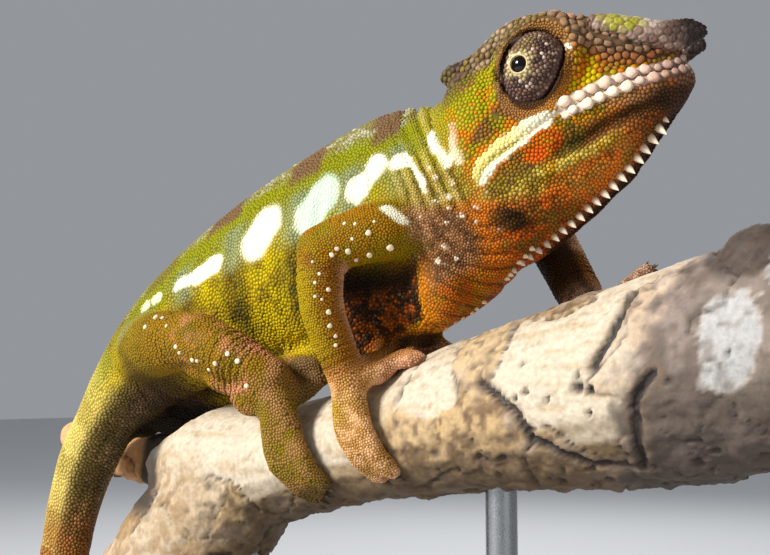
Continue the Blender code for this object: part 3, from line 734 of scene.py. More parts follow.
def stroke(u, v, path, width, soft=0.35):
    gap, _ = gap_to_path(np.stack([u, v], axis=1), path)
    return ramp(width * (1 + soft), width * (1 - soft), gap)


def head_colours(points, chance, ragged):
    """Markings of head and lower jaw, with painted shade under the canthal crest, in the valley under the lip
    and below the throat crest. Chance is one number for each scale, so that whole scales differ.
    """
    x, y, z = to_head(points).T
    side = np.abs(y)
    lip = z - line_at(MOUTH_LINE, x)
    cover = Paint(CHEEK_GREEN, chance)
    cover.lay(ORANGE, few(chance, 0.34 + 0.3 * ramp(16, 6, z)) * 0.85)
    cover.lay(OLIVE, (1 - few(chance, 0.86)) * 0.7)
    # yellow and orange between the eye and the lip, and in front of the eye
    cheek = band(x, 12, 17, 28, 33) * ramp(13, 9, z)
    cover.mix(0.55, ORANGE, YELLOW_GREEN, cheek * 0.85)
    front = band(x, 26, 29, 38, 44) * ramp(1, 3, lip)
    cover.mix(0.45, ORANGE, YELLOW_GREEN * 1.1, front * 0.95)
    cover.lay(tone(186, 112, 24), patch(x, z, (29, 13.5), (3, 4), 0.6) * few(chance, 0.6) * 0.6)
    # painted shade under the canthal crest and horn: rust-brown, and darker further forward over the lip
    cover.lay(tone(128, 78, 34), ramp(32, 36, x) * ramp(13, 9, z) * ramp(2.4, 3.6, lip) * 0.8)
    cover.lay(tone(58, 38, 28), ramp(40, 44, x) * ramp(12, 8, z) * ramp(2.2, 3.4, lip) * 0.9)
    # dark shadow skin just over the rear of the stripe
    cover.lay(tone(92, 70, 40), patch(x, z, (8, 7.6), (6, 1.7), 0.5, 22) * few(chance, 0.75) * 0.8)
    # brow, casque and canthal crest
    brow = ramp(20, 23.5, z + 0.1 * x) * band(x, 2, 6, 30, 36)
    cover.mix(0.4, tone(160, 140, 116), tone(112, 84, 58), brow * 0.85)
    rear = ramp(11, 8, x) * ramp(15, 18, z - 0.25 * x)
    cover.mix(0.4, tone(96, 78, 58), tone(104, 92, 24), rear * 0.85)
    canthus = ramp(-1.4, 0.4, z - line_at(CANTHUS_EDGE, x)) * ramp(27, 31, x)
    cover.lay(PURPLE_GREY, canthus)
    cover.lay(PINK * 0.75, canthus * few(chance, 0.25) * ramp(42, 36, x))
    cover.lay(tone(150, 84, 30), ramp(2.2, 0.4, z - line_at(CANTHUS_EDGE, x)) * canthus * ramp(30, 36, x)
              * 0.6)
    forehead = ramp(8.5, 6.5, side) * band(x, 37.5, 39.5, 46, 50) * ramp(10, 13, z)
    cover.mix(0.7, tone(170, 156, 40), LIME, forehead)
    crown = ramp(7, 5, side) * band(x, 5, 9, 30, 33) * ramp(20, 24, z)
    cover.mix(0.6, OLIVE, YELLOW_GREEN, crown * 0.9)
    tip = ramp(11, 8, x) * ramp(19.5, 22, z - 0.25 * (x - 5))
    cover.lay(tone(92, 70, 58), tip * (0.55 + 0.45 * few(chance, 0.6)))
    for name in SIDES:
        share, _ = orbit_place(points, name)
        ring = ramp(1.42, 1.24, share) * (side > 6)
        cover.lay(tone(158, 110, 56), ring * 0.95)
        cover.lay(tone(178, 112, 24), ring * ramp(16, 9, z) * 0.6)
        cover.lay(tone(126, 92, 62), ring * ramp(20, 10, x) * 0.7)
        cover.lay(tone(60, 38, 22), ramp(1.06, 1.0, share) * (side > 6) * 0.9)
    cover.lay(WHITE, patch(x, z, (30.2, 15.6), (0.75, 0.9), 0.3) * (side > 5))
    # lower jaw and throat
    below = ramp(0.4, -0.4, lip)
    jaw = Paint(mixed(chance, 0.6, tone(206, 110, 22), tone(150, 88, 16)), chance)
    jaw.lay(OLIVE, (1 - few(chance, 0.78)) * 0.7)
    greens = mixed(chance, 0.5, JAW_GREEN * 0.85, OLIVE)
    jaw.lay(greens, patch(x + ragged, z + ragged, (5.0, -8.2), (8.0, 3.8), 0.45, 6) * 0.85)
    jaw.mix(0.5, OLIVE, tone(120, 88, 40), patch(x, z, (9, -4.2), (8, 2.0), 0.45, 16) * 0.8)
    low = ramp(-9.5, -13.5, z + 0.3 * (x - 12) + ragged)
    jaw.mix(0.5, tone(194, 86, 14), tone(120, 62, 22), low * 0.85)
    path = np.stack([x, z], axis=1)
    middle = patch(x, z, (27, -9.5), (11, 3.6), 0.5, 22)
    jaw.mix(0.6, tone(222, 120, 34), tone(196, 134, 52), middle * 0.85)
    jaw.mix(0.6, JAW_GREEN, GOLD,
               ramp(1.9, 0.8, gap_to_path(path, PALE_FOLD)[0]) * ramp(33, 28, x) * 0.8)
    dapple = ramp(0.5, 0.66, clouds(points, 2.8, 41)) * ramp(-3.5, -5.5, lip)
    jaw.mix(0.5, tone(104, 66, 22), tone(128, 104, 28), dapple * 0.6)
    chin = ramp(29, 39, x + ragged) * ramp(-3.5, -5.5, lip)
    jaw.mix(0.3, tone(150, 72, 24), tone(92, 54, 28), chin * 0.85)
    # painted shade in the valley under the lower lip
    jaw.lay(tone(62, 40, 16), ramp(2.8, 0.9, gap_to_path(path, SHADED_FOLD)[0] + 0.5 * ragged) * 0.85)
    jaw.mix(0.55, tone(196, 118, 6), OLIVE, patch(x, lip, (27, -3.0), (9, 1.5), 0.4) * 0.95)
    jaw.lay(tone(150, 104, 62), patch(x, lip, (38, -3.2), (6, 1.8), 0.5) * 0.8)
    jaw.mix(0.5, tone(104, 84, 20), DARK_OLIVE,
               patch(x + ragged, z + ragged, (20.5, -3.6), (4.4, 2.4), 0.4, 14) * 0.85)
    jaw.mix(0.7, RED_ORANGE * (1 - 0.3 * ramp(15, 19, x))[:, None], GOLD * 0.8,
               patch(x + 1.2 * ragged, z + 0.8 * ragged, (15.8, -2.4), (4.4, 2.2), 0.4, 12) * 0.95)
    # painted shade on the throat's underside, below the crest
    jaw.lay(tone(44, 22, 10), ramp(-0.4, -1.6, z - crest_height(x)) * 0.9)
    jaw.lay(BLOTCH, patch(x + ragged, z + 0.5 * ragged, (1.8, -13.3), (4.0, 2.1), 0.45, -24) * 0.95)
    jaw.lay(tone(62, 42, 26), ramp(38, 45, x) * ramp(-2.6, -4.2, lip) * 0.9)
    jaw.lay(tone(112, 84, 66), ramp(44, 49, x) * ramp(-5, -3, lip) * 0.9)
    cover.lay(jaw.colours, below)
    # the pale stripe at the rear of the mouth, with a yellow-green line down its middle
    inside = ramp(0.35, 0.85, line_at(STRIPE_TOP, x) - z + ragged * 0.5)
    inside *= ramp(-0.25, 0.25, z - line_at(STRIPE_FOOT, x) + ragged * 0.9)
    inside *= band(x, -1.4, -0.7, 22.4, 23.4) * (side > 6)
    stripe = np.where((lip > 0)[:, None], CREAM, WHITE)
    stripe = over(stripe, tone(176, 160, 60), hump(lip, 0, 0.6) * ramp(19, 12, x) * 0.9)
    stripe = over(stripe, WHITE, ramp(8, 18, x))
    cover.lay(stripe, inside)
    lips = ramp(2.3, 2.1, np.abs(lip)) * ramp(21.5, 22.2, x)
    lip_tone = over(LIP_WHITE, tone(204, 170, 150), few(chance, 0.3) * 0.6)
    lip_tone = over(lip_tone, tone(222, 192, 172), ramp(36, 41, x + 2 * chance))
    lip_tone = over(lip_tone, tone(166, 134, 118), ramp(42, 48, x + 2 * chance) * 0.85)
    cover.lay(lip_tone, lips * (1 - below * ramp(38, 44, x) * 0.2))
    snout = ramp(46, 49, x) * ramp(1.5, 3.5, lip)
    return cover.lay(tone(92, 70, 58), snout * (1 - canthus) * 0.8)


# Small pale flecks of the neck: x, z and size in the head's frame, and the V-shaped white mark as paths.
NECK_FLECKS = ((-8.0, 13.1, 0.8), (-9.0, 5.8, 1.0), (-8.5, 2.9, 1.1), (-7.7, -2.6, 1.4), (-5.6, -0.3, 1.1),
               (-6.8, -7.9, 1.1), (-10.9, -2.0, 1.2), (-12.0, 1.2, 1.5), (-10.6, -7.5, 1.0),
               (-8.7, -5.2, 1.0), (-3.1, -7.7, 0.9), (0.2, -5.8, 1.0), (-0.5, -14.3, 0.8),
               (-4.5, -10.5, 0.6), (-13.4, -12.0, 1.1), (-16.2, -14.0, 1.3), (-12.2, -15.5, 0.9),
               (-15.5, -3.5, 0.8), (-20.0, -5.0, 0.8))
NECK_MARK = (((-5.6, 12.9), (-5.9, 8.9), (-4.9, 4.3)), ((0.0, 12.0), (-2.6, 5.6), (-4.9, 4.3)),
             ((-1.6, 5.2), (-2.1, 3.2)))
# White ovals from the neck to the hip: both ends along the body and up its side, and half the width.
FLANK_OVALS = (((12.4, 9.0), (17.0, 10.2), 1.7), ((11.9, 8.0), (11.5, 2.0), 1.15),
               ((21.6, 11.6), (31.0, 8.4), 2.8), ((40.3, 10.2), (44.9, 6.8), 4.5),
               ((58.5, 9.0), (61.7, 6.2), 4.9), ((76.0, 6.4), (82.6, 6.8), 2.7),
               ((84.0, 7.4), (91.0, 9.4), 1.9), ((97.8, 11.6), (99.2, 11.8), 1.8),
               ((102.8, 13.6), (104.0, 13.8), 1.6))
# The top of the right forefoot's inner toes, as x and z, with the crease to the chest over it, which is
# painted dark as shade.
TOE_TOP = ((20, 143.5), (22, 145.8), (26.6, 148.8), (31.5, 149.5), (33.5, 148.4), (36, 145))
# Where the dark bars of the flank lie along the body.
BARS = (17.0, 34.0, 50.0, 70.5, 90.0, 108.0)


def body_colours(points, chance, ragged):
    """Markings of neck, trunk and tail, with painted shade under the rump and tail, by distance along the
    body and height on it
    """
    along, height = body_place(points)
    rise = height * 25
    bar = sum(hump(along + 3 * height + ragged * 1.5, centre, 4.2) for centre in BARS)
    cover = Paint(YELLOW_GREEN, chance)
    cover.lay(LIME, ramp(0.05, 0.45, height))
    cover.lay(GOLD, few(chance, 0.22) * ramp(0.3, -0.4, height) * 0.6)
    mottle = clouds(points, 3.4, 21)
    cover.lay(OLIVE, ramp(0.52, 0.7, mottle) * ramp(0.4, -0.1, height) * 0.7)
    cover.mix(0.45, OLIVE, DARK_OLIVE, bar * ramp(0.22, 0.0, height) * 0.95)
    cover.lay(TEAL, bar * band(height, 0.0, 0.16, 0.5, 0.62) * 0.85)
    cover.lay(tone(120, 140, 30), bar * ramp(0.5, 0.66, height) * 0.3)
    saddle = sum(hump(along + ragged * 2, centre, 6.3) for centre in (17, 48, 73.5, 97, 120))
    back = ramp(0.6, 0.74, height + 0.06 * ragged)
    cover.lay(LIME, ramp(0.5, 0.62, height) * 0.5)
    cover.mix(0.35, PALE_GREY, tone(130, 116, 66), ramp(0.72, 0.86, height + 0.06 * ragged) * 0.75)
    cover.lay(SADDLE, back * ramp(0.3, 0.7, saddle))
    cover.lay(LIME * 0.8, back * ramp(80, 92, along) * 0.55)
    belly = ramp(-0.5, -0.8, height) * ramp(40, 48, along)
    cover.lay(tone(204, 172, 20), belly * 0.6)
    # painted shade, dark brown, under the rump and the tail's root
    shade = patch(along, height, (132, -0.75), (26, 0.55), 0.4)
    shade = shade + ramp(-0.35, -0.8, height) * ramp(112, 125, along) * 0.7
    cover.lay(tone(62, 42, 24), shade * 0.9)
    for start, end, width in FLANK_OVALS:
        mask = stroke(along + ragged * 0.6, rise + ragged * 0.6, (start, end), width, 0.22)
        oval = over(WHITE, MINT, band(along, 34, 38, 47, 50) * 0.9)
        oval = over(oval, tone(216, 226, 168), ramp(94, 98, along) * 0.7)
        cover.lay(oval, mask)
    # tail: green-yellow turning to orange and rust, with soft bands
    tail = ramp(112, 150, along)
    bands = ramp(0.45, 0.65, 0.5 + 0.5 * np.sin((along + 3 * ragged) / 17 * 2 * math.pi))
    tail_tone = over(TAIL_GREEN, OLIVE, bands * 0.3)
    # the tail's underside darker: partly its own purple-brown, partly painted shade
    tail_tone = over(tail_tone, mixed(chance, 0.5, tone(92, 62, 44), tone(66, 46, 34)),
                     ramp(0.1, -0.5, height) * 0.85)
    tail_tone = over(tail_tone, tone(188, 150, 104), few(chance, 0.16) * ramp(0.4, -0.2, height) * 0.8)
    tail_tone = over(tail_tone, TAIL_RUST, ramp(158, 190, along) * (0.45 + 0.55 * few(chance, 0.6)))
    return cover.lay(tail_tone, tail)


def coil_colours(points, chance):
    turn = np.arctan2(points[:, 2] - COIL_CENTRE[1], points[:, 0] - COIL_CENTRE[0])
    reach = np.hypot(points[:, 2] - COIL_CENTRE[1], points[:, 0] - COIL_CENTRE[0])
    bands = 0.5 + 0.5 * np.sin(turn * 6 + reach * 0.25)
    cover = Paint(over(TAIL_RUST, OLIVE, ramp(0.4, 0.75, bands) * 0.8), chance)
    cover.lay(tone(120, 74, 34), few(chance, 0.2) * 0.6)
    return cover.lay(TAIL_GREEN, (1 - few(chance, 0.8)) * 0.6)


def neck_colours(points, chance, ragged):
    x, _, z = to_head(points).T
    around = fold_place(points)
    along, height = body_place(points)
    cover = Paint(tone(160, 142, 44), chance)
    cover.lay(OLIVE, few(chance, 0.5) * 0.8)
    cover.lay(CHEEK_GREEN, ramp(2, 9, z) * few(chance, 0.7) * 0.8)
    fold = np.abs(np.sin((around + 2.2 * (clouds(points, 9, 31) - 0.5)) / 2.9 * math.pi))
    folded = ramp(4, 6, around)
    # painted highlight on the crests of the neck folds
    cover.lay(tone(206, 178, 110), ramp(0.75, 0.97, fold) * folded * ramp(-14, -4, z) * 0.5)
    throat = ramp(-4.5, -9, z + 0.25 * x)
    cover.mix(0.55, tone(204, 104, 8), tone(170, 92, 22), throat * 0.9)
    net = patch(along, height * 25, (15.5, -11.5), (6.6, 8.2), 0.4, -18)
    cover.mix(0.4, tone(150, 106, 66), tone(84, 58, 34), net * 0.9)
    cover.lay(tone(214, 168, 130), net * (1 - few(chance, 0.88)) * 0.8)
    chest = ramp(-18, -21, height * 25) * ramp(8, 14, along)
    cover.mix(0.5, RUST, OCHRE, chest * 0.9)
    # painted shade in the troughs of the neck folds
    cover.lay(tone(74, 46, 18), ramp(0.45, 0.12, fold) * folded * (0.75 - 0.3 * net))
    upper = ramp(0.32, 0.45, height) * ramp(6, 11, around)
    body = body_colours(points, chance, ragged)
    cover.lay(body, upper)
    for start, end, width in FLANK_OVALS[:2]:
        mask = stroke(along + ragged * 0.5, height * 25 + ragged * 0.5, (start, end), width, 0.25)
        cover.lay(WHITE, mask)
    for path in NECK_MARK:
        cover.lay(WHITE, stroke(x + ragged * 0.6, z + ragged * 0.6, path, 1.0, 0.35))
    for fx, fz, size in NECK_FLECKS:
        cover.lay(tone(232, 210, 180), patch(x, z, (fx, fz), (size * 0.34, size * 0.5), 0.5, 20) * 0.9)
    return cover.colours


def chest_shade_colours(points, chance, height):
    """Painted shade behind the arm, near black over the chest's dark brown skin, with rust and a few pale
    granules lower down
    """
    cover = Paint(tone(34, 20, 8), chance)
    lower = ramp(-0.45, -0.62, height)
    cover.mix(0.4, RUST, tone(74, 42, 16), lower * few(chance, 0.62) * 0.85)
    return cover.lay(tone(206, 158, 118), (1 - few(chance, 0.985)) * lower)


def lobe_colours(chance):
    """The orange skin fold at the front of the chest"""
    orange = mixed(chance, 0.55, tone(206, 122, 18), tone(166, 96, 14))
    return over(orange, tone(236, 204, 160), (1 - few(chance, 0.97)) * 0.9)


def limb_colours(points, chance, kind):
    """Ochre limbs, yellow-green on the outer rear side and rusty to the front and down at the feet, with
    painted shade on parts of the far limbs
    """
    along = limb_place(points)
    mottle = clouds(points, 4.5, 51)
    x, side, z = points.T
    if kind in ("arm", "forearm", "forefoot"):
        cover = Paint(over(OCHRE, tone(132, 116, 0), ramp(0.44, 0.6, mottle) * 0.8), chance)
        rear = ramp(17.0, 11.5, x) * band(along, 24, 34, 56, 66)
        cover.lay(tone(154, 134, 0), rear * 0.85)
        cover.lay(tone(150, 84, 8), ramp(15, 20, x) * ramp(28, 36, along) * 0.75)
        cover.lay(tone(176, 124, 4), few(chance, 0.25) * 0.4)
        cover.lay(tone(124, 70, 30), hump(along, 30, 4.5) * ramp(0.4, 0.6, clouds(points, 3, 53)) * 0.7)
        edge = (x - line_at([spot[:2] for spot in FOREARM], z)) * 0.82
        edge = edge + (side - line_at([spot[::2] for spot in FOREARM], z)) * 0.57
        near = band(z, 143, 149, 165, 169) * (side < -8)
        cover.lay(tone(120, 74, 8), band(along, 26, 34, 50, 56) * (0.2 + 0.4 * ramp(13, 17, x)))
        cover.lay(tone(166, 140, 4), ramp(1.5, -3.0, edge) * near * 0.6)
        cover.lay(tone(172, 108, 20), hump(edge, 2.6, 2.2) * near * 0.4)
        cover.lay(tone(226, 170, 130), hump(edge, 5.2, 1.2) * near * 0.8)
        foot = ramp(52, 59, along)
        cover.mix(0.5, tone(224, 172, 118), tone(184, 134, 70), foot * 0.9)
        cover.lay(tone(172, 140, 14), foot * ramp(0.42, 0.6, mottle) * ramp(22, 14, x - 0.35 * (z - 130))
                  * 0.8)
        cover.lay(tone(196, 134, 92), ramp(-12, -6, side) * foot * 0.7)
        cover.lay(tone(206, 142, 78), band(along, 50, 54, 56, 62) * 0.6)
        toe = foot * ramp(22, 25, x) * ramp(-16, -13, side)
        cover.mix(0.5, tone(214, 158, 120), tone(180, 124, 84), toe * 0.9)
        shoulder = ramp(31, 34, x) * ramp(171, 174, z) * ramp(-17, -14, side)
        cover.mix(0.5, tone(214, 160, 114), tone(160, 112, 66), shoulder * 0.85)
        # painted shade on the inner half of the left arm
        inner = ramp(8, 13, side) * ramp(line_at(LEFT_ARM, x) + 1, line_at(LEFT_ARM, x) - 1.5, side)
        cover.lay(tone(46, 28, 12), inner * ramp(62, 54, along) * 0.9)
        cover.mix(0.5, tone(170, 132, 104), tone(120, 88, 66), ramp(48, 54, x) * foot * 0.95)
        middle = patch(x, z, (26, 173.5), (7, 3.2), 0.5) * (side < -10)
        cover.lay(tone(140, 108, 10), middle * few(chance, 0.7) * 0.6)
        mark = stroke(x, z + 0.35 * (side + 18), ((29.8, 179.6), (32.8, 177.4)), 1.15, 0.35) * (side < -12)
        return cover.lay(WHITE, mark)
    cover = Paint(over(tone(140, 104, 8), OLIVE, ramp(0.5, 0.64, mottle) * 0.7), chance)
    cover.lay(GOLD, few(chance, 0.25) * 0.35)
    hip = ramp(-34, -44, x) * ramp(-30, -10, along)
    cover.lay(tone(122, 96, 6), np.maximum(hip * 0.8, ramp(26, 12, along) * 0.4))
    pink = ramp(0.38, 0.7, clouds(points, 5, 57, 4)) * band(along, 30, 42, 64, 78)
    cover.lay(tone(204, 132, 92), pink * 0.9)
    foot = ramp(58, 68, along)
    cover.lay(mixed(clouds(points, 3, 59), 0.5, tone(160, 116, 66), tone(126, 106, 14)), foot * 0.8)
    cover.lay(tone(96, 74, 50), foot * ramp(-16.5, -13, side) * 0.6)
    # painted shade on the far hind leg, where it shows in the hollow under the rump
    shaded = band(side, 0, 5, 19, 25) * ramp(149, 144, z) * ramp(-25, -35, x) * ramp(-84, -76, x)
    return cover.lay(tone(44, 29, 14), shaded * 0.9)


def markings(points, weights, chance):
    """The animal's colours at each point, with painted shade behind the arm, over the toes and under the
    rump, from the same rules for skin and scales
    """
    ragged = 2 * clouds(points, 2.6, 71) - 1
    clumps = 0.5 + 0.5 * np.tanh((clouds(points, 1.9, 77, 2) - 0.5) / 0.2)
    chance = np.clip(0.6 * clumps + 0.4 * chance, 0, 1)
    share = {part: weights[:, n:n + 1] for n, part in enumerate(PARTS)}
    head = head_colours(points, chance, ragged)
    body = body_colours(points, chance, ragged)
    along, height = body_place(points)
    # behind the right arm: the orange chest fold, and behind it painted shade over the chest
    edge = along - 21.5 - 16 * (-0.5 - height) + 0.6 * ragged
    low = ramp(-0.2, -0.34, height) * ramp(49, 44, along)
    body = over(body, lobe_colours(chance), ramp(0.6, -0.6, edge) * low * ramp(14, 18, along) * 0.95)
    body = over(body, chest_shade_colours(points, chance, height), ramp(-0.6, 0.6, edge) * low)
    x, y, z = points.T
    # painted shade in the crease between the right forefoot's inner toes and the chest
    over_toe = z - line_at(TOE_TOP, x)
    gap = band(over_toe, 0, 0.5, 2.6, 4.2) * band(x, 23, 26, 36, 38)
    gap *= band(y, -15, -13, 1, 4)
    total = head * (share["head"] + share["jaw"])
    total += neck_colours(points, chance, ragged) * share["neck"]
    total += body * (share["trunk"] + share["tail"])
    total += coil_colours(points, chance) * share["coil"]
    for kinds in (("arm", "forearm", "forefoot"), ("thigh", "shank", "hindfoot")):
        limb = limb_colours(points, chance, kinds[0])
        if kinds[0] == "thigh":
            limb = over(limb, body, ramp(24, 9, limb_place(points)) * ramp(-34, -42, x) * 0.62)
        total += limb * sum(share[kind] for kind in kinds)
    total = over(total, tone(40, 25, 13), gap * 0.92)
    # painted shadow, near black, in the hollow under the rump above the bough
    rump = ramp(-36, -42, x) * ramp(-84, -76, x) * ramp(137, 134, z)
    rump = rump * band(y, 3, 7, 20, 25) * ramp(112, 118, z)
    return over(total, tone(24, 16, 10), rump * 0.9)


# ---- scales

def spacing_at(points, weights):
    """The distance between neighbouring scales at each point"""
    x, y, z = to_head(points).T
    side = np.abs(y)
    base = weights @ np.array([SPACING[part] for part in PARTS])
    here = weights[:, 0] + weights[:, 1]
    canthus = ramp(-1.2, 0.6, z - line_at(CANTHUS_EDGE, x)) * ramp(27, 31, x) * here
    forehead = ramp(8.5, 6.5, side) * band(x, 31, 35, 46, 50) * ramp(10, 13, z)
    base = base + canthus * (1 - forehead) * 1.0
    brow = ramp(21, 24, z + 0.1 * x) * ramp(4, 8, side) * band(x, 2, 6, 30, 36) * here
    base = base + brow * 0.45
    tip = ramp(11, 8, x) * ramp(20, 22, z) * here
    base = base + tip * 0.5
    for name in SIDES:
        share, _ = orbit_place(points, name)
        ring = ramp(1.4, 1.22, share) * here * (side > 6)
        base = base + (0.54 - base) * ring
    front = band(x, 27, 30, 42, 46) * ramp(3.5, 4.5, z) * ramp(0.5, -0.5, z - line_at(CANTHUS_EDGE, x))
    base = base + 0.38 * front * here
    jaw = weights[:, 1] * ramp(46, 43, x)
    return base - 0.1 * jaw


def row_place(points, weights):
    """A distance in whose whole steps the scales line up in rows, and how strongly they do"""
    limb = share_of(weights, "arm", "forearm", "forefoot", "thigh", "shank", "hindfoot")
    throat, neck = share_of(weights, "jaw"), share_of(weights, "neck")
    x, _, z = to_head(points).T
    rows = fold_place(points) * neck + limb_place(points) * limb
    rows = rows + (z - 0.35 * x) * throat
    pull = neck * 0.5 + limb * 0.4 + throat * 0.35
    return rows, pull


def scatter(surface, spacing, rng, allowed):
    """Random places on a surface, as many to each triangle as its spacing asks"""
    a, b, c = (surface.points[surface.triangles[:, n]] for n in range(3))
    areas = 0.5 * lengths(np.cross(b - a, c - a))[:, 0]
    gap = spacing[surface.triangles].mean(axis=1)
    density = areas / (0.25 * gap * gap) * allowed[surface.triangles].min(axis=1)
    count = int(density.sum())
    faces = rng.choice(len(density), count, p=density / density.sum())
    u, v = rng.random((2, count, 1))
    flip = u + v > 1
    u, v = np.where(flip, 1 - u, u), np.where(flip, 1 - v, v)
    places = a[faces] + u * (b - a)[faces] + v * (c - a)[faces]
    return places[thinned(places, (0.75 - 0.1 * ramp(1.4, 2.0, gap[faces])) * gap[faces], rng)]


def closest(places, centres, count):
    """For each place the nearest centres, as their numbers and their distances"""
    tree = KDTree(len(centres))
    for n, centre in enumerate(np.asarray(centres).tolist()):
        tree.insert(centre, n)
    tree.balance()
    hits = [tree.find_n(place, count) for place in places.tolist()]
    numbers, distances = ([[hit[n] for hit in row] for row in hits] for n in (1, 2))
    return np.array(numbers), np.array(distances)


def neighbours(places, count):
    return closest(places, places, count + 1)[0][:, 1:]


def thinned(places, gaps, rng):
    """Of crowded places, a set in which none is closer to another than its gap, with no bare patches"""
    near = neighbours(places, 14)
    close = lengths(places[near] - places[:, None, :])[:, :, 0] < gaps[:, None]
    order = rng.random(len(places))
    waiting = np.ones(len(places), bool)
    chosen = np.zeros(len(places), bool)
    while waiting.any():
        rivals = np.where(close & waiting[near], order[near], -1).max(axis=1)
        picked = waiting & (order > rivals)
        if not picked.any():
            break
        chosen |= picked
        waiting &= ~picked & ~(close & picked[near]).any(axis=1)
        beaten = np.zeros(len(places), bool)
        rows, columns = np.nonzero(close & picked[:, None])
        beaten[near[rows, columns]] = True
        waiting &= ~beaten
    return chosen


def settled(surface, places, spacing, sizes, rounds, rows=True):
    """Push scale centres apart until they pack evenly, kept on the surface and, in places, in rows.

    The first places are fixed, with the given half widths."""
    count = len(places)
    fixed = len(sizes)
    free = np.ones(count)
    free[:fixed] = 0
    for step in range(rounds):
        spots, faces = surface.nearest(places)
        shares = surface.shares(spots, faces)
        if fixed:
            spots[:fixed] = places[:fixed]
        places = spots
        gap = surface.blend(spacing[:, None], faces, shares)[:, 0]
        gap[:fixed] = 2 * sizes
        if step == rounds - 1:
            break
        near = neighbours(places, 7)
        apart = places[:, None, :] - places[near]
        distance = lengths(apart)
        want = (0.5 * (gap[:, None] + gap[near]))[:, :, None]
        push = (apart / np.maximum(distance, 1e-6) * np.maximum(want * 1.06 - distance, 0)).sum(axis=1) * 0.42
        push *= np.minimum(1, 0.6 * gap[:, None] / np.maximum(lengths(push), 1e-9))
        if rows and step > 2:
            weights = surface.blend(surface.weights, faces, shares)
            at, pull = row_place(places, weights)
            slope = np.stack([row_place(places + 0.05 * np.eye(3)[n], weights)[0] - at for n in range(3)],
                             axis=1)
            slope = units(slope)
            pitch = gap * 0.9
            off = (at / pitch - np.round(at / pitch)) * pitch
            push = push - slope * (off * pull * 0.55)[:, None]
        places = places + push * free[:, None]
    return places, faces, shares, gap


# The cross-section of a scale from its rim in the skin to its crown: share of its width, share of its height.
LOW_SCALE = ((0.99, -0.25), (0.8, 0.68))
LARGE_SCALE = ((0.97, -0.3), (0.92, 0.42), (0.72, 0.84), (0.4, 0.97))


def scale_cells(places, normals, radii, around, around_radii, ring):
    """The outline of each scale: the ground nearer to it than to its neighbours, as points round it"""
    helper = np.where(np.abs(normals[:, :1]) < 0.8, [[1.0, 0, 0]], [[0, 1.0, 0]])
    across = units(np.cross(normals, helper))
    ahead = np.cross(normals, across)
    apart = around - places[:, None, :]
    flat = np.stack([(apart * across[:, None, :]).sum(2), (apart * ahead[:, None, :]).sum(2)], axis=2)
    reach = np.maximum(lengths(flat)[:, :, 0], 1e-6)
    edge = reach * radii[:, None] / (radii[:, None] + around_radii)
    turn = np.arange(ring) / ring * 2 * math.pi
    rays = np.stack([np.cos(turn), np.sin(turn)], axis=1)
    lean = np.einsum("nkc,mc->nkm", flat / reach[:, :, None], rays)
    limit = np.where(lean > 0.05, edge[:, :, None] / np.maximum(lean, 0.05), 1e9).min(axis=1)
    limit = np.minimum(limit, radii[:, None] * (1.32 + 0.3 * ramp(0.7, 1.0, radii))[:, None])
    outline = across[:, None, :] * rays[None, :, :1] + ahead[:, None, :] * rays[None, :, 1:]
    return outline, limit


def scale_mesh(places, normals, outline, limit, height, tops, rims, section):
    """All scales as one set of points and triangles, each a stack of rings closed by its crown"""
    count, ring = limit.shape
    levels = len(section)
    rows, shades = [], []
    for n, (wide, rise) in enumerate(section):
        lift = normals * (rise * height)[:, None]
        rows.append(places[:, None, :] + outline * (limit * wide)[:, :, None] + lift[:, None, :])
        # painted shade at each scale's foot, lighter up to a painted highlight on the crown; the lowest ring
        # keeps the rim colour
        shade = rims if n == 0 else tops * (0.8 + 0.22 * rise)
        shades.append(np.repeat(shade[:, None, :], ring, 1))
    points = np.concatenate(rows + [(places + normals * height[:, None])[:, None, :]], axis=1).reshape(-1, 3)
    colours = np.concatenate(shades + [tops[:, None, :] * 1.05], axis=1).reshape(-1, 3)
    a = np.arange(ring)
    b = (a + 1) % ring
    pattern = []
    for level in range(levels - 1):
        low, high = level * ring, (level + 1) * ring
        pattern += [np.stack([low + a, low + b, high + b], axis=1),
                    np.stack([low + a, high + b, high + a], axis=1)]
    last = (levels - 1) * ring
    pattern.append(np.stack([last + a, last + b, np.full(ring, levels * ring)], axis=1))
    pattern = np.concatenate(pattern)
    triangles = (pattern[None] + (np.arange(count) * (levels * ring + 1))[:, None, None]).reshape(-1, 3)
    return points, triangles, colours


class Unwrap:
    """A coarse copy of the skin, laid out flat, that tells where on the flat each scale has its root"""

    def __init__(self, surface):
        points, triangles = shaped(surface.points, surface.triangles, [("DECIMATE", {"ratio": 0.035})])
        mesh = write_mesh("unwrap", points, triangles)
        thing = bpy.data.objects.new("unwrap", mesh)
        bpy.context.scene.collection.objects.link(thing)
        bpy.ops.object.select_all(action="DESELECT")
        thing.select_set(True)
        bpy.context.view_layer.objects.active = thing
        bpy.ops.object.mode_set(mode="EDIT")
        bpy.ops.mesh.select_all(action="SELECT")
        bpy.ops.uv.smart_project(angle_limit=math.radians(66), island_margin=0.002)
        bpy.ops.object.mode_set(mode="OBJECT")
        flat = np.empty(len(mesh.loops) * 2, np.float32)
        mesh.uv_layers.active.data.foreach_get("uv", flat)
        corners = np.empty(len(mesh.loops), np.int32)
        mesh.loops.foreach_get("vertex_index", corners)
        self.flat = flat.reshape(-1, 3, 2).astype(float)
        self.surface = Surface(points, corners.reshape(-1, 3))
        bpy.data.objects.remove(thing)
        bpy.data.meshes.remove(mesh)

    def roots(self, places):
        spots, faces = self.surface.nearest(places)
        shares = self.surface.shares(spots, faces)
        return (self.flat[faces] * shares[:, :, None]).sum(axis=1)


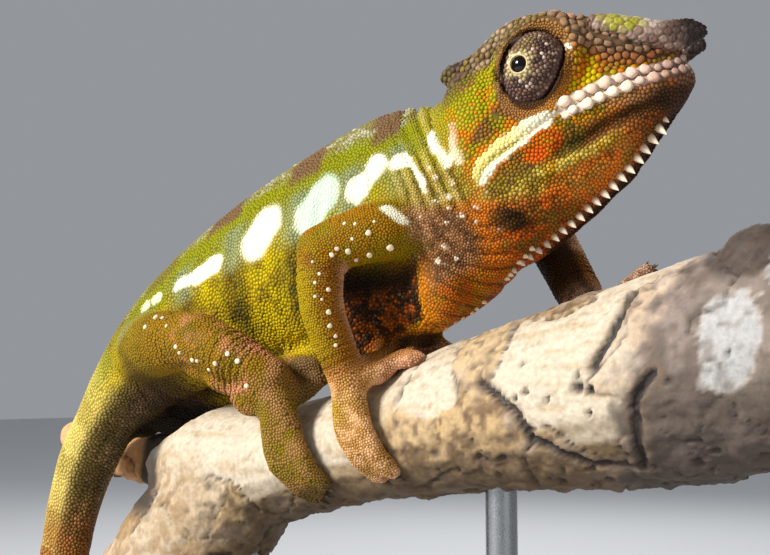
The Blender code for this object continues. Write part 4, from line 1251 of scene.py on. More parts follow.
def lay_patches(mesh, roots, ring, section):
    """A bake patch 0.003 across for each scale, at its root's place on the unwrapped skin"""
    turn = np.arange(ring) / ring * 2 * math.pi
    rays = np.stack([np.cos(turn), np.sin(turn)], axis=1)
    local = np.concatenate([rays * wide for wide, _ in section] + [[[0.0, 0.0]]]) * 0.0015
    spots = np.clip((roots[:, None, :] + local[None]).reshape(-1, 2), 0.001, 0.999)
    corners = np.empty(len(mesh.loops), np.int32)
    mesh.loops.foreach_get("vertex_index", corners)
    layer = mesh.uv_layers.new(name="OFBake")
    layer.data.foreach_set("uv", spots[corners].astype(np.float32).ravel())


def lip_band(points):
    """1 where only the large lip scales may lie"""
    x, y, z = to_head(points).T
    lip = z - line_at(MOUTH_LINE, x)
    return (np.abs(lip - 0.05) < 1.95) & (x > 22.2) & (x < 53) & (np.abs(y) > 1.0)


def lip_anchors(surface):
    """Centres of the large lip scales, a row over and a row under the mouth line on each side"""
    spots, sizes = [], []
    for side in (-1, 1):
        for above in (1, -1):
            x = 22.9 + (0.9 if above < 0 else 0)
            n = 0
            while x < 52.5:
                size = 1.36 + 0.16 * math.sin(2.4 * n + above) - 0.36 * ramp(36, 50, x)
                x += size
                z = float(line_at(MOUTH_LINE, x)) + above * (size * 0.93 + 0.06)
                spots.append((x, side * (14.5 - 0.26 * max(x - 22, 0)), z))
                sizes.append(size)
                x += size + 0.34
                n += 1
    places, _ = surface.nearest(from_head(np.array(spots)))
    return places, np.array(sizes)


# The white tubercles of the right arm: x, y, z and the size of each.
ARM_STUDS = ((22.6, -24.1, 176.2, 0.42), (25.0, -23.4, 176.0, 0.42), (27.8, -22.3, 173.7, 0.66),
             (30.9, -17.9, 170.4, 0.84), (26.6, -19.9, 169.0, 0.72), (23.6, -20.7, 168.0, 0.5),
             (23.1, -23.3, 169.7, 0.7), (21.2, -24.9, 170.4, 0.5), (19.5, -24.4, 169.2, 0.6),
             (24.5, -23.8, 172.5, 0.4), (19.2, -25.0, 161.6, 0.56), (19.2, -25.0, 156.5, 0.64),
             (19.2, -24.6, 153.5, 0.56), (20.1, -23.6, 151.3, 0.44), (20.0, -23.5, 149.1, 0.44),
             (17.5, -26.5, 164.9, 0.4), (16.8, -27.0, 163.1, 0.36), (16.9, -27.1, 160.0, 0.4),
             (18.1, -26.1, 159.2, 0.34), (16.0, -27.1, 167.6, 0.36), (28.9, -21.6, 176.4, 0.34))


def limb_tubercles(surface, rng):
    """White tubercles scattered over the limbs, thickest along the outer edge of each arm"""
    spots = [np.array(stud[:3]) for stud in ARM_STUDS]
    sizes = [stud[3] for stud in ARM_STUDS]
    for name, path in LIMBS.items():
        if name == "arm_right":
            continue
        path = np.array(path, float)
        arm = name.startswith("arm")
        outward = np.array([0, -1.0 if name.endswith("right") else 1.0, 0])
        for piece_number in range(1, len(path) - 1):
            start, end = path[piece_number], path[piece_number + 1]
            count = (11 if arm else 5) if piece_number == 1 else (9 if arm else 4)
            for n in range(count):
                t = (n + 0.2 + 0.6 * rng.random()) / count
                forward = np.cross(end - start, outward)
                forward = forward / np.linalg.norm(forward) * (1 if forward[0] > 0 or arm else -1)
                leans = (-1.1, -0.8, -0.5, 0.2) if piece_number == 1 else (-0.75, -0.5, -0.35, 0.3)
                lean = rng.choice(leans) + 0.1 * rng.normal()
                spots.append(start + (end - start) * t + (outward + forward * lean) * 7)
                sizes.append(rng.uniform(0.38, 0.74))
    places, _ = surface.nearest(np.array(spots))
    return places, np.array(sizes)


def back_row(surface):
    """The low row of pointed scales along the middle of the back"""
    spots = []
    for start, end in zip(SPINE[:9], SPINE[1:10]):
        ahead = np.array(end[:2], float) - np.array(start[:2], float)
        up = np.array([-ahead[1], ahead[0]]) * (-1 if ahead[0] < 0 else 1)
        up = up / np.linalg.norm(up)
        steps = int(round(np.linalg.norm(ahead) / 1.9))
        for n in range(steps):
            t = n / steps
            top = np.array(start[:2]) + ahead * t + up * (start[2] + (end[2] - start[2]) * t)
            spots.append((top[0], 0.0, top[1]))
    spots = np.array(spots)
    places, _ = surface.nearest(spots[spots[:, 0] < 35])
    return places, np.full(len(places), 0.86)


def gaps_at(surface, places, spacing):
    spots, faces = surface.nearest(places)
    return surface.blend(spacing[:, None], faces, surface.shares(spots, faces))[:, 0]


def make_coat(skin, unwrap, materials):
    """Every scale of head, body, limbs and tail, packed on the skin, as one piece for each region"""
    rng = np.random.default_rng(11)
    spacing = spacing_at(skin.points, skin.weights)
    allowed = 1.0 - lip_band(skin.points)
    for name in SIDES:
        share, height_out = orbit_place(skin.points, name)
        allowed *= (share > 1.0) | (height_out < -2)
        allowed *= lengths(to_head(skin.points) - EYE_CENTRE[name])[:, 0] > EYE_RADIUS + 0.3
    bough = solid_surface(["perch_bough"])
    feet = (share_of(skin.weights, "forefoot", "hindfoot") > 0.3).nonzero()[0]
    allowed[feet] = bough.gap(skin.points[feet]) > 0.45
    lips, lip_sizes = lip_anchors(skin)
    white, white_sizes = limb_tubercles(skin, rng)
    row, row_sizes = back_row(skin)
    anchors = np.concatenate([lips, white, row])
    anchor_sizes = np.concatenate([lip_sizes, white_sizes, row_sizes])
    loose = scatter(skin, spacing, rng, allowed)
    gaps = gaps_at(skin, loose, spacing)
    near = neighbours(np.concatenate([anchors, loose]), 8)[len(anchors):]
    crowd = np.where(near < len(anchors), anchor_sizes[np.minimum(near, len(anchors) - 1)], 0)
    reach = lengths(np.concatenate([anchors, loose])[near] - loose[:, None, :])[:, :, 0]
    loose = loose[~((near < len(anchors)) & (reach < 0.75 * (crowd + gaps[:, None] / 2))).any(axis=1)]
    places = np.concatenate([anchors, loose])
    rounds = 12
    places, faces, shares, gap = settled(skin, places, spacing, anchor_sizes, rounds)
    radii = gap * 0.5
    radii[:len(lips)] *= 0.72
    normals = units(skin.blend(skin.normals, faces, shares))
    weights = skin.blend(skin.weights, faces, shares)
    near = neighbours(places, 9)
    # loose scales go where an anchor swallows them, or where no scales are allowed
    reach = lengths(places[near] - places[:, None, :])[:, :, 0]
    swallowed = ((near < len(anchors)) & (reach < 0.62 * radii[near])).any(axis=1)
    keep = ~swallowed & (skin.blend(allowed[:, None], faces, shares)[:, 0] >= 0.3)
    keep[:len(anchors)] = True
    chance = rng.random(len(places))
    tops = markings(places, weights, chance)
    first = len(lips)
    second = first + len(white)
    lip_x = to_head(lips)[:, 0]
    tops[first:second] = tone(238, 216, 178) * rng.uniform(0.7, 1.0, (len(white), 1))
    one_by_one, tints = rng.random((len(places), 1)) - 0.5, rng.random((len(places), 3)) - 0.5
    tops = tops * (1 + 0.13 * one_by_one + 0.07 * tints)
    light = tops.mean(axis=1, keepdims=True)
    rims = tops * (0.42 + 0.45 * ramp(0.25, 0.6, light))
    rims[:first] = over(tops[:first], tone(120, 72, 36), np.full(first, 0.75)) * 0.7
    height = radii * (0.44 + 0.14 * (rng.random(len(places)) - 0.5)) * (1 + 0.25 * ramp(1.4, 2.0, gap))
    height = height * (1 + 0.25 * weights[:, 0] - 0.35 * ramp(0.4, 0.65, light[:, 0]))
    height[:first] = 0.66 * lip_sizes * np.where(lip_x > 44, 0.8, 1)
    height[first:second] = white_sizes * 0.7
    height[second:len(anchors)] = 0.8
    roots = unwrap.roots(places)
    region = weights.argmax(axis=1)
    along, _ = body_place(places)
    number = np.arange(len(places))
    large = (number < len(anchors)) | (gap > 1.5)
    groups = (
        ("studs", large, 8, "head_skin"), ("head", region == 0, 7, "head_skin"),
        ("jaw", region == 1, 7, "head_skin"), ("neck", region == 2, 6, "body_skin"),
        ("trunk_front", (region == 3) & (along < 60), 6, "body_skin"),
        ("trunk_rear", (region == 3) & (along >= 60), 6, "body_skin"),
        ("tail", np.isin(region, [4, 5]), 6, "body_skin"), ("arms", np.isin(region, [6, 7]), 6, "limb_skin"),
        ("legs", np.isin(region, [9, 10]), 6, "limb_skin"), ("forefeet", region == 8, 6, "limb_skin"),
        ("hindfeet", region == 11, 6, "limb_skin"),
    )
    for name, members, ring, slot in groups:
        studs = name == "studs"
        section = LARGE_SCALE if studs else LOW_SCALE
        chosen = (members & keep & (large == studs)).nonzero()[0]
        beside = near[chosen]
        spots, facing = places[chosen], normals[chosen]
        outline, limit = scale_cells(spots, facing, radii[chosen], places[beside], radii[beside], ring)
        points, triangles, colours = scale_mesh(spots, facing, outline, limit, height[chosen], tops[chosen],
                                                rims[chosen], section)
        made = piece(f"coat_{name}", points, triangles, colours, materials["scales"], slot)
        lay_patches(made.data, roots[chosen], ring, section)


def grown(name, surface, spacing, seed, colour_of, height, materials, unwrap, slot, rounds=10, allowed=None):
    """Scales packed over a small separate form, such as the eye's turret"""
    rng = np.random.default_rng(seed)
    gaps = np.full(len(surface.points), spacing)
    allowed = np.ones(len(surface.points)) if allowed is None else allowed
    places = scatter(surface, gaps, rng, allowed)
    places, faces, shares, gap = settled(surface, places, gaps, np.zeros(0), rounds, rows=False)
    normals = units(surface.blend(surface.normals, faces, shares))
    near = neighbours(places, 9)
    radii = gap * 0.5
    tops = colour_of(places, rng.random(len(places)))
    outline, limit = scale_cells(places, normals, radii, places[near], radii[near], 8)
    points, triangles, colours = scale_mesh(places, normals, outline, limit, radii * height, tops, tops * 0.5,
                                            LOW_SCALE)
    made = piece(name, points, triangles, colours, materials["horn scales"], slot)
    lay_patches(made.data, unwrap.roots(places), 8, LOW_SCALE)


# ---- eyes, horns, claws and crest

def turned(profile, centre, direction, segments):
    """A form turned round an axis from its radius and height points, from the back to the tip"""
    ahead = np.array(direction, float)
    across = units(np.cross(ahead, [0.0, 0.0, 1.0] if abs(ahead[2]) < 0.9 else [1.0, 0.0, 0.0]))
    up = np.cross(across, ahead)
    turn = np.arange(segments) / segments * 2 * math.pi
    round_it = np.cos(turn)[:, None] * across + np.sin(turn)[:, None] * up
    rings = [centre + round_it * radius + ahead * height for radius, height in profile]
    return facing_out(np.concatenate(rings), tube_faces(len(rings), segments))


def facing_out(points, triangles):
    a, b, c = (points[triangles[:, n]] - points.mean(axis=0) for n in range(3))
    inward = (a * np.cross(b, c)).sum() < 0
    return points, triangles[:, ::-1] if inward else triangles


def arc(radius, start, end, steps, shift=0.0):
    """Radius and height points on a circle, by the angle from the tip in degrees"""
    angles = [math.radians(start + (end - start) * n / steps) for n in range(steps + 1)]
    return [(radius * math.sin(a), radius * math.cos(a) + shift) for a in angles]


def joined(parts):
    points, triangles = [], []
    count = 0
    for p, t in parts:
        points.append(p)
        triangles.append(t + count)
        count += len(p)
    return np.concatenate(points), np.concatenate(triangles)


def turret_colours(side, places, chance):
    """Dark granules, a few pale ones as painted glints, an olive upper rear, and a ragged cream star round
    the opening
    """
    centre, gaze = from_head(EYE_CENTRE[side]), head_direction(EYE_GAZE[side])
    out = units(places - centre)
    from_tip = np.degrees(np.arccos(np.clip(out @ gaze, -1, 1)))
    ahead, up = out @ HEAD_AXES[:, 0], out @ HEAD_AXES[:, 2]
    cover = Paint(tone(66, 44, 34))
    cover.lay(tone(136, 98, 76), ramp(0.5, 0.1, chance) * 0.8)
    # painted glints: a few granules pale
    cover.lay(tone(214, 184, 162), ramp(0.84, 0.98, chance) * 0.9)
    olive = ramp(0.0, 0.5, up - 0.5 * ahead) * ramp(0.2, 0.5, clouds(places, 3.0, 41) + 0.1)
    cover.lay(tone(136, 112, 58), olive * 0.75)
    share, _ = orbit_place(places, side)
    cover.lay(tone(104, 72, 66), ramp(0.72, 0.84, share) * 0.6)
    cover.lay(tone(40, 27, 24), ramp(0.88, 0.98, share) * 0.85)
    spin = np.arctan2(up - gaze @ HEAD_AXES[:, 2], ahead - gaze @ HEAD_AXES[:, 0])
    rays = 3.5 * np.sin(spin * 4 + 0.6) + 3.0 * np.sin(spin * 7 + 2.0)
    cover.lay(tone(186, 164, 112), ramp(26, 21, from_tip - rays + 6 * (chance - 0.5)) * 0.75)
    return cover.lay(tone(222, 202, 150), ramp(18.5, 16.5, from_tip))


def stretched(points, side):
    """The turret is a little longer along the orbit's oval"""
    centre = from_head(EYE_CENTRE[side])
    long = orbit_axes(side)[0] @ HEAD_AXES.T
    return points + ((points - centre) @ long * (TURRET_STRETCH - 1))[:, None] * long


def make_eye(side, unwrap, materials):
    """Scaly turret with a cream rim round its small opening, and the glossy eyeball inside"""
    centre = from_head(EYE_CENTRE[side])
    gaze = head_direction(EYE_GAZE[side])
    body = EYE_RADIUS - 0.26
    opening = math.degrees(math.asin(LID_OPENING / body))
    inner_edge = [(LID_OPENING - 0.12, body - 0.62), (LID_OPENING - 0.05, body - 1.3)]
    profile = arc(body, 128, opening, 44) + inner_edge
    points, triangles = turned(profile, centre, gaze, 96)
    out = units(points - centre)
    share, _ = orbit_place(points, side)
    wrinkle = 0.13 * np.sin(share * 30) * ramp(0.72, 0.9, share)
    points = points + out * (wrinkle * ramp(body - 0.3, body - 0.1, lengths(points - centre)[:, 0]))[:, None]
    base = turret_colours(side, points, np.full(len(points), 0.5))
    piece(f"turret_{side}", stretched(points, side), triangles,
          base * (0.55 + 0.35 * ramp(0.75, 0.9, share))[:, None], materials["turret"], "turret_skin",
          [f"eye_turret_{side}"])

    outer = turned(arc(body, 96, opening + 3, 40), centre, gaze, 96)
    share, _ = orbit_place(outer[0], side)
    grown(f"turret_scales_{side}", Surface(stretched(outer[0], side), outer[1]), 0.86, 5,
          lambda p, c: turret_colours(side, p, c), 0.7, materials, unwrap, "turret_skin", 10,
          ramp(0.99, 0.88, share) > 0.5)
    rim = turned([(LID_OPENING + 0.2 + 0.24 * math.cos(a), body - 0.2 + 0.24 * math.sin(a))
                  for a in np.linspace(-1.2, 4.3, 12)], centre, gaze, 72)
    piece(f"lid_rim_{side}", *rim, np.tile(tone(186, 166, 112), (len(rim[0]), 1)), materials["turret"],
          "turret_skin")

    ball = turned(arc(3.0, 179.5, 0.5, 32, EYE_RADIUS - 3.0 - 0.2), centre, gaze, 64)
    outward = units(ball[0] - centre - gaze * (EYE_RADIUS - 3.2))
    from_axis = np.degrees(np.arccos(np.clip(outward @ gaze, -1, 1)))
    iris = over(tone(9, 7, 7), tone(70, 46, 22), ramp(33, 37, from_axis))
    piece(f"eye_{side}", *ball, iris, materials["eye"], "cornea", [f"eyeball_{side}"])


def horn_colours(places, chance):
    """Purple-brown plates, some paler, dark at the tip and warmer at the root's underside"""
    h = to_head(places)
    cover = Paint(HORN_BROWN, chance)
    cover.lay(tone(150, 124, 108), few(chance, 0.3) * 0.8)
    cover.lay(tone(84, 60, 52), (1 - few(chance, 0.75)) * 0.7)
    cover.lay(tone(30, 19, 14), ramp(50, 55, h[:, 0]) * 0.92)
    top = ramp(0.2, 1.4, h[:, 2] - (12.6 - 0.3 * (h[:, 0] - 40))) * band(h[:, 0], 38.2, 39.8, 46.5, 49)
    cover.mix(0.75, tone(150, 142, 34), tone(176, 166, 120), top * 0.9)
    cover.lay(tone(196, 176, 160), band(h[:, 0], 45.5, 47.5, 49, 51) * ramp(10, 12, h[:, 2]) * 0.7)
    return cover.lay(tone(126, 72, 34), ramp(9, 4, h[:, 2] + 0.2 * (h[:, 0] - 44)) * ramp(52, 46, h[:, 0])
                     * 0.5)


def make_horns(materials):
    """Each horn a blunt blade covered with plates that are grown together"""
    for side in SIDES:
        name = f"rostral_horn_{side}"
        rng = np.random.default_rng(7)
        points, triangles, _ = node_arrays([name])
        points, triangles = shaped(points, triangles,
                                   [("REMESH", {"mode": "VOXEL", "voxel_size": 0.42 * MM})])
        points = Web(len(points), triangles).relaxed(points, 14)
        core = Surface(points, triangles)
        gaps = 2.0 - 0.5 * ramp(48, 54, to_head(points)[:, 0])
        plates = scatter(core, gaps, rng, np.ones(len(points)))
        plates, _, _, _ = settled(core, plates, gaps, np.zeros(0), 12, rows=False)
        near, gap = closest(points, plates, 2)
        groove = gap[:, 1] - gap[:, 0]
        lift = 0.42 * ramp(0.0, 0.75, groove) - 0.25 * hump(gap[:, 0], 0, 0.3) - 0.3
        points = points + normals_of(points, triangles) * lift[:, None]
        ahead = to_head(points)[:, 0]
        rise = 0.9 * hump(ahead, 56, 3.2) - 0.7 * hump(ahead, 49.5, 3.0) + 0.7 * hump(ahead, 38.5, 4.0)
        points = points + rise[:, None] * HEAD_AXES[:, 2]
        shade = horn_colours(plates, rng.random(len(plates)))[near[:, 0]]
        shade = shade * (0.5 + 0.55 * ramp(0.0, 0.5, groove))[:, None]
        piece(f"horn_{side}", points, triangles, shade, materials["horn scales"], "horn_scales", [name])


def make_claws(materials):
    """All twenty claws, smoothed from their solids"""
    names = [f"claw_{side}_{foot}_{n}" for side in SIDES for foot in ("fore", "hind") for n in range(1, 6)]
    feet = feet_surface()
    parts = []
    for name in names:
        points, triangles, _ = node_arrays([name])
        base = points[feet.gap(points).argmin()]
        points = nudged(base + (points - base) * 0.66)
        fine = shaped(points, triangles, [("REMESH", {"mode": "VOXEL", "voxel_size": 0.24 * MM})])
        parts.append((Web(len(fine[0]), fine[1]).relaxed(fine[0], 6), fine[1]))
    piece("claws", *joined(parts), None, materials["claw"], "claw_horn", names)


def spike(root, out, along, length, width, thick):
    """One pointed crest scale: a leaf-shaped cone, flat from side to side, its tip drawn along"""
    across = units(np.cross(out, along))
    ahead = np.cross(across, out)
    turn = np.arange(12) / 12 * 2 * math.pi
    rings = []
    for rise, swell in ((-0.3, 0.85), (0.0, 1.0), (0.2, 1.0), (0.4, 0.88), (0.58, 0.7), (0.76, 0.45),
                        (0.9, 0.22), (0.98, 0.06)):
        ring = np.cos(turn)[:, None] * ahead * width / 2 + np.sin(turn)[:, None] * across * thick / 2
        drawn = ahead * (0.34 * width * max(rise, 0) ** 1.5)
        rings.append(root + out * length * rise + drawn + ring * swell)
    return facing_out(np.concatenate(rings), tube_faces(len(rings), 12))


def make_crest(skin, materials):
    """White pointed scales under the chin and throat, getting smaller down the chest"""
    parts, shades = [], []
    x = 41.2
    out = head_direction((0.1, -0.42, -0.9))
    forward = head_direction((0.8, 0.0, 0.6))
    path = np.array(CREST_LINE)[::-1]
    while x > -3.8:
        share = (x + 3.8) / 45.0
        beside = float(np.interp(x, path[:, 0], path[:, 1]))
        place, _ = skin.nearest(from_head(np.array([[x, beside, float(crest_height(x))]])))
        length = (1.9 + 1.9 * share**0.7) * (0.55 if x > 41 else 1)
        width = (1.25 + 0.7 * share**0.5) * (0.7 if x > 41 else 1)
        parts.append(spike(place[0] - out * 0.4, out, forward, length, width, width * 0.85))
        shade = tone(240, 220, 190) * (0.75 + 0.25 * share)
        rise = (parts[-1][0] - place[0]) @ out / length
        shades.append(over(shade, tone(150, 104, 76), ramp(0.45, 0.0, rise) * 0.8))
        x -= width * 0.55 + 1.35
    for n in range(18):
        share = n / 17
        place, down, ahead = belly_place(2 + 40 * share)
        root, _ = skin.nearest((place + down * 4)[None])
        scale = 1 - 0.5 * share
        lean = units(down + np.array([0.3, -0.2, 0]))
        parts.append(spike(root[0], lean, ahead, 1.35 * scale, 1.3 * scale, scale))
        shades.append(np.tile(tone(232, 204, 170) * (1 - 0.15 * share), (len(parts[-1][0]), 1)))
    piece("gular_crest", *joined(parts), np.concatenate(shades), materials["scales"], "head_skin")


def belly_place(distance):
    """A place on the middle of the belly that far behind the neck, with the directions down and forward"""
    for start, step, size, row, following in spine_legs():
        if distance <= size:
            break
        distance -= size
    ahead = step / size
    down = np.array([-ahead[1], ahead[0]])
    down = down if down[1] < 0 else -down
    low = row[3] + (following[3] - row[3]) * distance / size
    spot = start + ahead * distance + down * low
    back = -np.array([ahead[0], 0, ahead[1]])
    return np.array([spot[0], 0, spot[1]]), np.array([down[0], 0, down[1]]), back


# ---- bough and stand

# Bark plates that face the front: their middle, and how pale each is from dark bark, 0, to bare wood, 1.
PLATES = (((70, -19, 141), 1.0), ((79, -19, 133), 0.92), ((79, -18, 149), 0.98), ((63, -17, 146), 0.95),
          ((39, -15, 140), 0.95), ((48, -16, 131), 0.3), ((57, -16, 127), 0.28), ((36, -16, 129), 0.42),
          ((50, -14, 145), 0.45), ((85, -19, 144), 0.6), ((92, -19, 150), 0.42), ((95, -19, 134), 0.2),
          ((97, -21, 143), 0.28), ((107, -22, 149), 0.9), ((110, -22, 141), 0.85), ((113, -20, 160), 0.8),
          ((101, -16, 160), 0.5), ((108, -14, 165), 0.15), ((91, -15, 128), 0.15), ((104, -17, 131), 0.18),
          ((-24, -13, 126), 0.85), ((-33, -16, 121), 0.7), ((11, -13, 129), 0.9), ((13, -12, 120), 0.75),
          ((-30, -16, 111), 0.55), ((-41, -17, 100), 0.75), ((-21, -12, 107), 0.4), ((-52, -14, 92), 0.6))
# Cracks between the plates of bark, as paths of x, y and z.
CRACKS = (((53, -17, 141), (58, -18, 138), (62, -19, 135), (65, -17, 130), (70, -16, 128), (76, -14, 125),
           (86, -13, 125)),
          ((86, -13, 125), (87.5, -19.5, 134), (88, -21, 138), (92, -22, 143)),
          ((79, -20, 144), (82, -19, 149), (84, -18, 154), (86, -14.5, 158)))
# Borings in the wood: x, y, z and radius.
HOLES = ((62.8, -17.6, 144.6, 0.8), (64.3, -19.0, 139.1, 0.95), (61.8, -18.9, 138.0, 0.7),
         (69.1, -19.5, 137.7, 0.7), (76.1, -20.3, 140.1, 1.6), (78.7, -20.4, 139.5, 1.2),
         (78.3, -19.7, 135.1, 0.8), (76.0, -19.9, 142.5, 0.8), (-28, -15, 118, 0.9), (-24, -15, 121, 0.6),
         (95, -22, 141, 0.9), (106, -22, 146, 0.8))


def dense_path(path, step):
    """The same path with a point every step or so"""
    path = np.array(path, float)
    out = []
    for start, end in zip(path[:-1], path[1:]):
        count = max(1, int(np.linalg.norm(end - start) / step))
        out += [start + (end - start) * n / count for n in range(count)]
    return np.array(out + [path[-1]])


def make_bough(materials):
    """Weathered dead wood: bare pale patches, flaking bark with dark edges, holes and a rough underside
    painted darker as shade
    """
    points, triangles, _ = node_arrays(["perch_bough"])
    points, triangles = shaped(points, triangles, [("REMESH", {"mode": "VOXEL", "voxel_size": 0.82 * MM})])
    web = Web(len(points), triangles)
    points = web.relaxed(points, 22)
    # the broken left end slopes more gently than the solid
    over_end = (points[:, 0] + 53.8) * -0.58 + (points[:, 2] - 118.7) * 0.815 - 1.0
    cut = np.maximum(over_end, 0) * ramp(-24, -34, points[:, 0]) * ramp(14, 8, points[:, 1])
    points = points + cut[:, None] * np.array([0.5, 0, -0.7])
    normals = normals_of(points, triangles)
    rng = np.random.default_rng(23)
    seeds = [np.array(middle, float) for middle, _ in PLATES]
    tones = [pale for _, pale in PLATES]
    for place in points[rng.integers(0, len(points), 900)]:
        if min(float(((place - seed) ** 2).sum()) for seed in seeds) > 13.5**2:
            seeds.append(place)
            tones.append(float(rng.choice((0.15, 0.35, 0.6, 0.9, 0.95))))
    tones = np.array(tones)
    warp = np.stack([clouds(points, 7, 80 + n, 4) for n in range(3)], axis=1) - 0.5
    nearest, gaps = closest(points + warp * 7.5, seeds, 2)
    border = gaps[:, 1] - gaps[:, 0]
    mine, other = tones[nearest].T
    pale = mine * ramp(0, 1.2, border) + (mine + other) / 2 * (1 - ramp(0, 1.2, border))
    edge = ramp(0.9, 0.15, border) * ramp(0.08, 0.3, np.abs(mine - other))
    edge = edge * ramp(0.3, 0.55, clouds(points, 11, 90))
    # under: the downward-facing wood, rougher and pitted, and painted darker as shade
    under = ramp(-0.2, -0.7, normals[:, 2])
    pale = pale * (1 - 0.7 * under)
    # bark stands over bare wood, with a step at its edge, and is pitted
    bark = 1 - ramp(0.5, 0.8, mine * ramp(0, 0.4, border) + mine * (1 - ramp(0, 0.4, border)))
    rough = clouds(points, 3.2, 95, 4) - 0.5
    grain = clouds(points * np.array([0.22, 1, 1]), 1.3, 97, 3) - 0.5
    pits = ramp(0.66, 0.8, clouds(points, 2.1, 99, 2)) * (bark * 0.7 + under)
    lift = 0.45 * bark * ramp(0, 0.8, border) + rough * (0.35 + 0.9 * bark + 1.1 * under) + 0.16 * grain
    lift = lift + 0.9 * (clouds(points, 16, 93, 2) - 0.5) - 0.4 * edge - 0.55 * pits
    hollow = np.zeros(len(points))
    for x, y, z, size in HOLES:
        reach = lengths(points - np.array([x, y, z]))[:, 0]
        hollow = np.maximum(hollow, ramp(size * 1.15, size * 0.5, reach))
        lift = lift + 0.25 * hump(reach, size * 1.3, 0.4)
    lift = lift - 1.3 * hollow
    crack = np.full(len(points), 9.0)
    bark_surface = Surface(points, triangles)
    for path in CRACKS:
        path = bark_surface.nearest(dense_path(path, 2.0))[0]
        crack = np.minimum(crack, gap_to_path(points + warp * np.array([1.6, 0, 1.6]), path)[0])
    lift = lift - 1.2 * ramp(1.2, 0.5, crack)
    lift = lift + 2.2 * ramp(7.5, 2.5, lengths(points - np.array([108.0, -11.0, 166.0]))[:, 0])
    held = ramp(0.6, 3.0, feet_surface().gap(points))
    lift = np.where(lift > 0, lift * held, lift * (0.4 + 0.6 * held))
    points = points + normals * lift[:, None]

    fleck = clouds(points, 1.8, 101, 3)
    streak = clouds(points * np.array([0.16, 1, 1]), 1.6, 103, 3)
    bone = over(tone(192, 176, 152), tone(168, 144, 108), ramp(0.48, 0.72, streak) * 0.6)
    bone = over(bone, tone(134, 108, 76), ramp(0.62, 0.78, fleck) * 0.5)
    dull = over(tone(176, 146, 102), tone(112, 86, 56), ramp(0.42, 0.66, fleck))
    dull = over(dull, tone(176, 154, 132), ramp(0.55, 0.7, clouds(points, 8, 105)) * 0.7)
    cover = Paint(over(dull, bone, ramp(0.35, 0.75, pale)))
    cover.lay(tone(96, 74, 54), ramp(0.3, 0.05, pale) * (0.3 + 0.6 * ramp(0.4, 0.7, streak)))
    # painted shade on the underside
    cover.lay(tone(84, 64, 42), under * 0.8)
    x, y, z = points.T
    left = ramp(-22, -34, points[:, 0]) * ramp(128, 118, points[:, 2])
    cover.lay(tone(142, 112, 72), left * (0.35 + 0.4 * ramp(0.4, 0.6, fleck)))
    cover.lay(tone(206, 146, 84), ramp(-76, -79, x) * (0.6 + 0.3 * ramp(0.6, 0.4, fleck)))
    # painted shadow of the body, near black, between the side stub and the bough's left end
    shadow_wedge = ramp(-43.5, -47, x + 3 * (fleck - 0.5)) * ramp(-81, -78, x) * ramp(105, 110, z) * ramp(22, 15, y)
    cover.lay(tone(34, 24, 16), shadow_wedge * 0.92)
    cover.lay(tone(186, 170, 164), ramp(70, 95, points[:, 0]) * bark * 0.35)
    torn = 2.5 * (fleck - 0.5)
    torn = torn + 5 * (clouds(points, 5, 113) - 0.5)
    white = patch(x + torn, z + torn, (106, 148.5), (5.8, 8.6), 0.15, -8)
    white = np.maximum(white, patch(x + torn, z + torn, (116, 161.5), (3.6, 4.4), 0.2))
    bark_end = ramp(84, 90, x - 0.35 * (z - 143) + 2 * torn) * (1 - white)
    shades = over(tone(122, 106, 96), tone(74, 60, 50), ramp(0.35, 0.65, clouds(points, 6, 111)))
    # the bark end darker low down, as painted shade, and darker at the top near the knob
    dark = np.maximum(ramp(146, 137, z), ramp(102, 105, x) * ramp(157, 162, z))
    shades = over(shades, over(tone(40, 30, 22), tone(74, 60, 48), fleck), dark * 0.85)
    cover.lay(shades, bark_end * 0.9)
    knob = ramp(11, 8.5, lengths(points - np.array([109.0, -11.0, 166.0]))[:, 0] + torn)
    cover.lay(over(tone(44, 34, 27), tone(82, 66, 54), fleck), knob * 0.95)
    cover.lay(over(tone(162, 158, 154), tone(128, 120, 112), ramp(0.5, 0.7, fleck)), white)
    cover.lay(tone(128, 104, 80), ramp(3.4, 0.8, crack) * 0.3)
    cover.lay(tone(30, 20, 14), ramp(1.25, 0.6, crack + 0.4 * (fleck - 0.5)) * 0.97)
    cover.lay(tone(58, 44, 34), np.clip(edge * 0.9 + pits * 0.75, 0, 1))
    cover.lay(tone(28, 20, 15), hollow)
    piece("bough", points, triangles, cover.colours, materials["wood"], "dead_wood", ["perch_bough"])


def make_stand(materials):
    """Finer rods with a low collar each; the base keeps its solid and gets its paint"""
    parts, names = [], []
    for place in ("front", "rear"):
        name = f"stand_rod_{place}"
        low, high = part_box(name)
        low, high = np.array(low) / MM, np.array(high) / MM
        middle = (low + high) / 2
        radius = (high[0] - low[0]) / 2
        foot = np.array([middle[0], middle[1], low[2]])
        tall = high[2] - low[2]
        profile = [(0.01, 0), (radius + 2.6, 0), (radius + 2.8, 0.25), (radius + 2.8, 2.4),
                   (radius + 2.5, 2.9),
                   (radius + 0.5, 3.1), (radius, 3.4), (radius, 3.7), (radius, tall * 0.5),
                   (radius, tall - 0.2)]
        parts.append(turned(profile, foot, (0, 0, 1), 64))
        names.append(name)
    rods = piece("stand_rods", *joined(parts), None, materials["steel"], "rod_steel", names)
    crease = rods.modifiers.new("crisp edges", "EDGE_SPLIT")
    crease.split_angle = math.radians(35)
    base = bpy.data.objects["stand_base"]
    base.material_slots[0].material = materials["base"]


# ---- materials

def new_group(name, inputs, outputs):
    group = bpy.data.node_groups.new(name, "ShaderNodeTree")
    for label, kind, value in inputs:
        socket = group.interface.new_socket(name=label, in_out="INPUT", socket_type=kind)
        socket.default_value = value
    for label, kind in outputs:
        group.interface.new_socket(name=label, in_out="OUTPUT", socket_type=kind)
    return group, group.nodes.new("NodeGroupInput"), group.nodes.new("NodeGroupOutput")


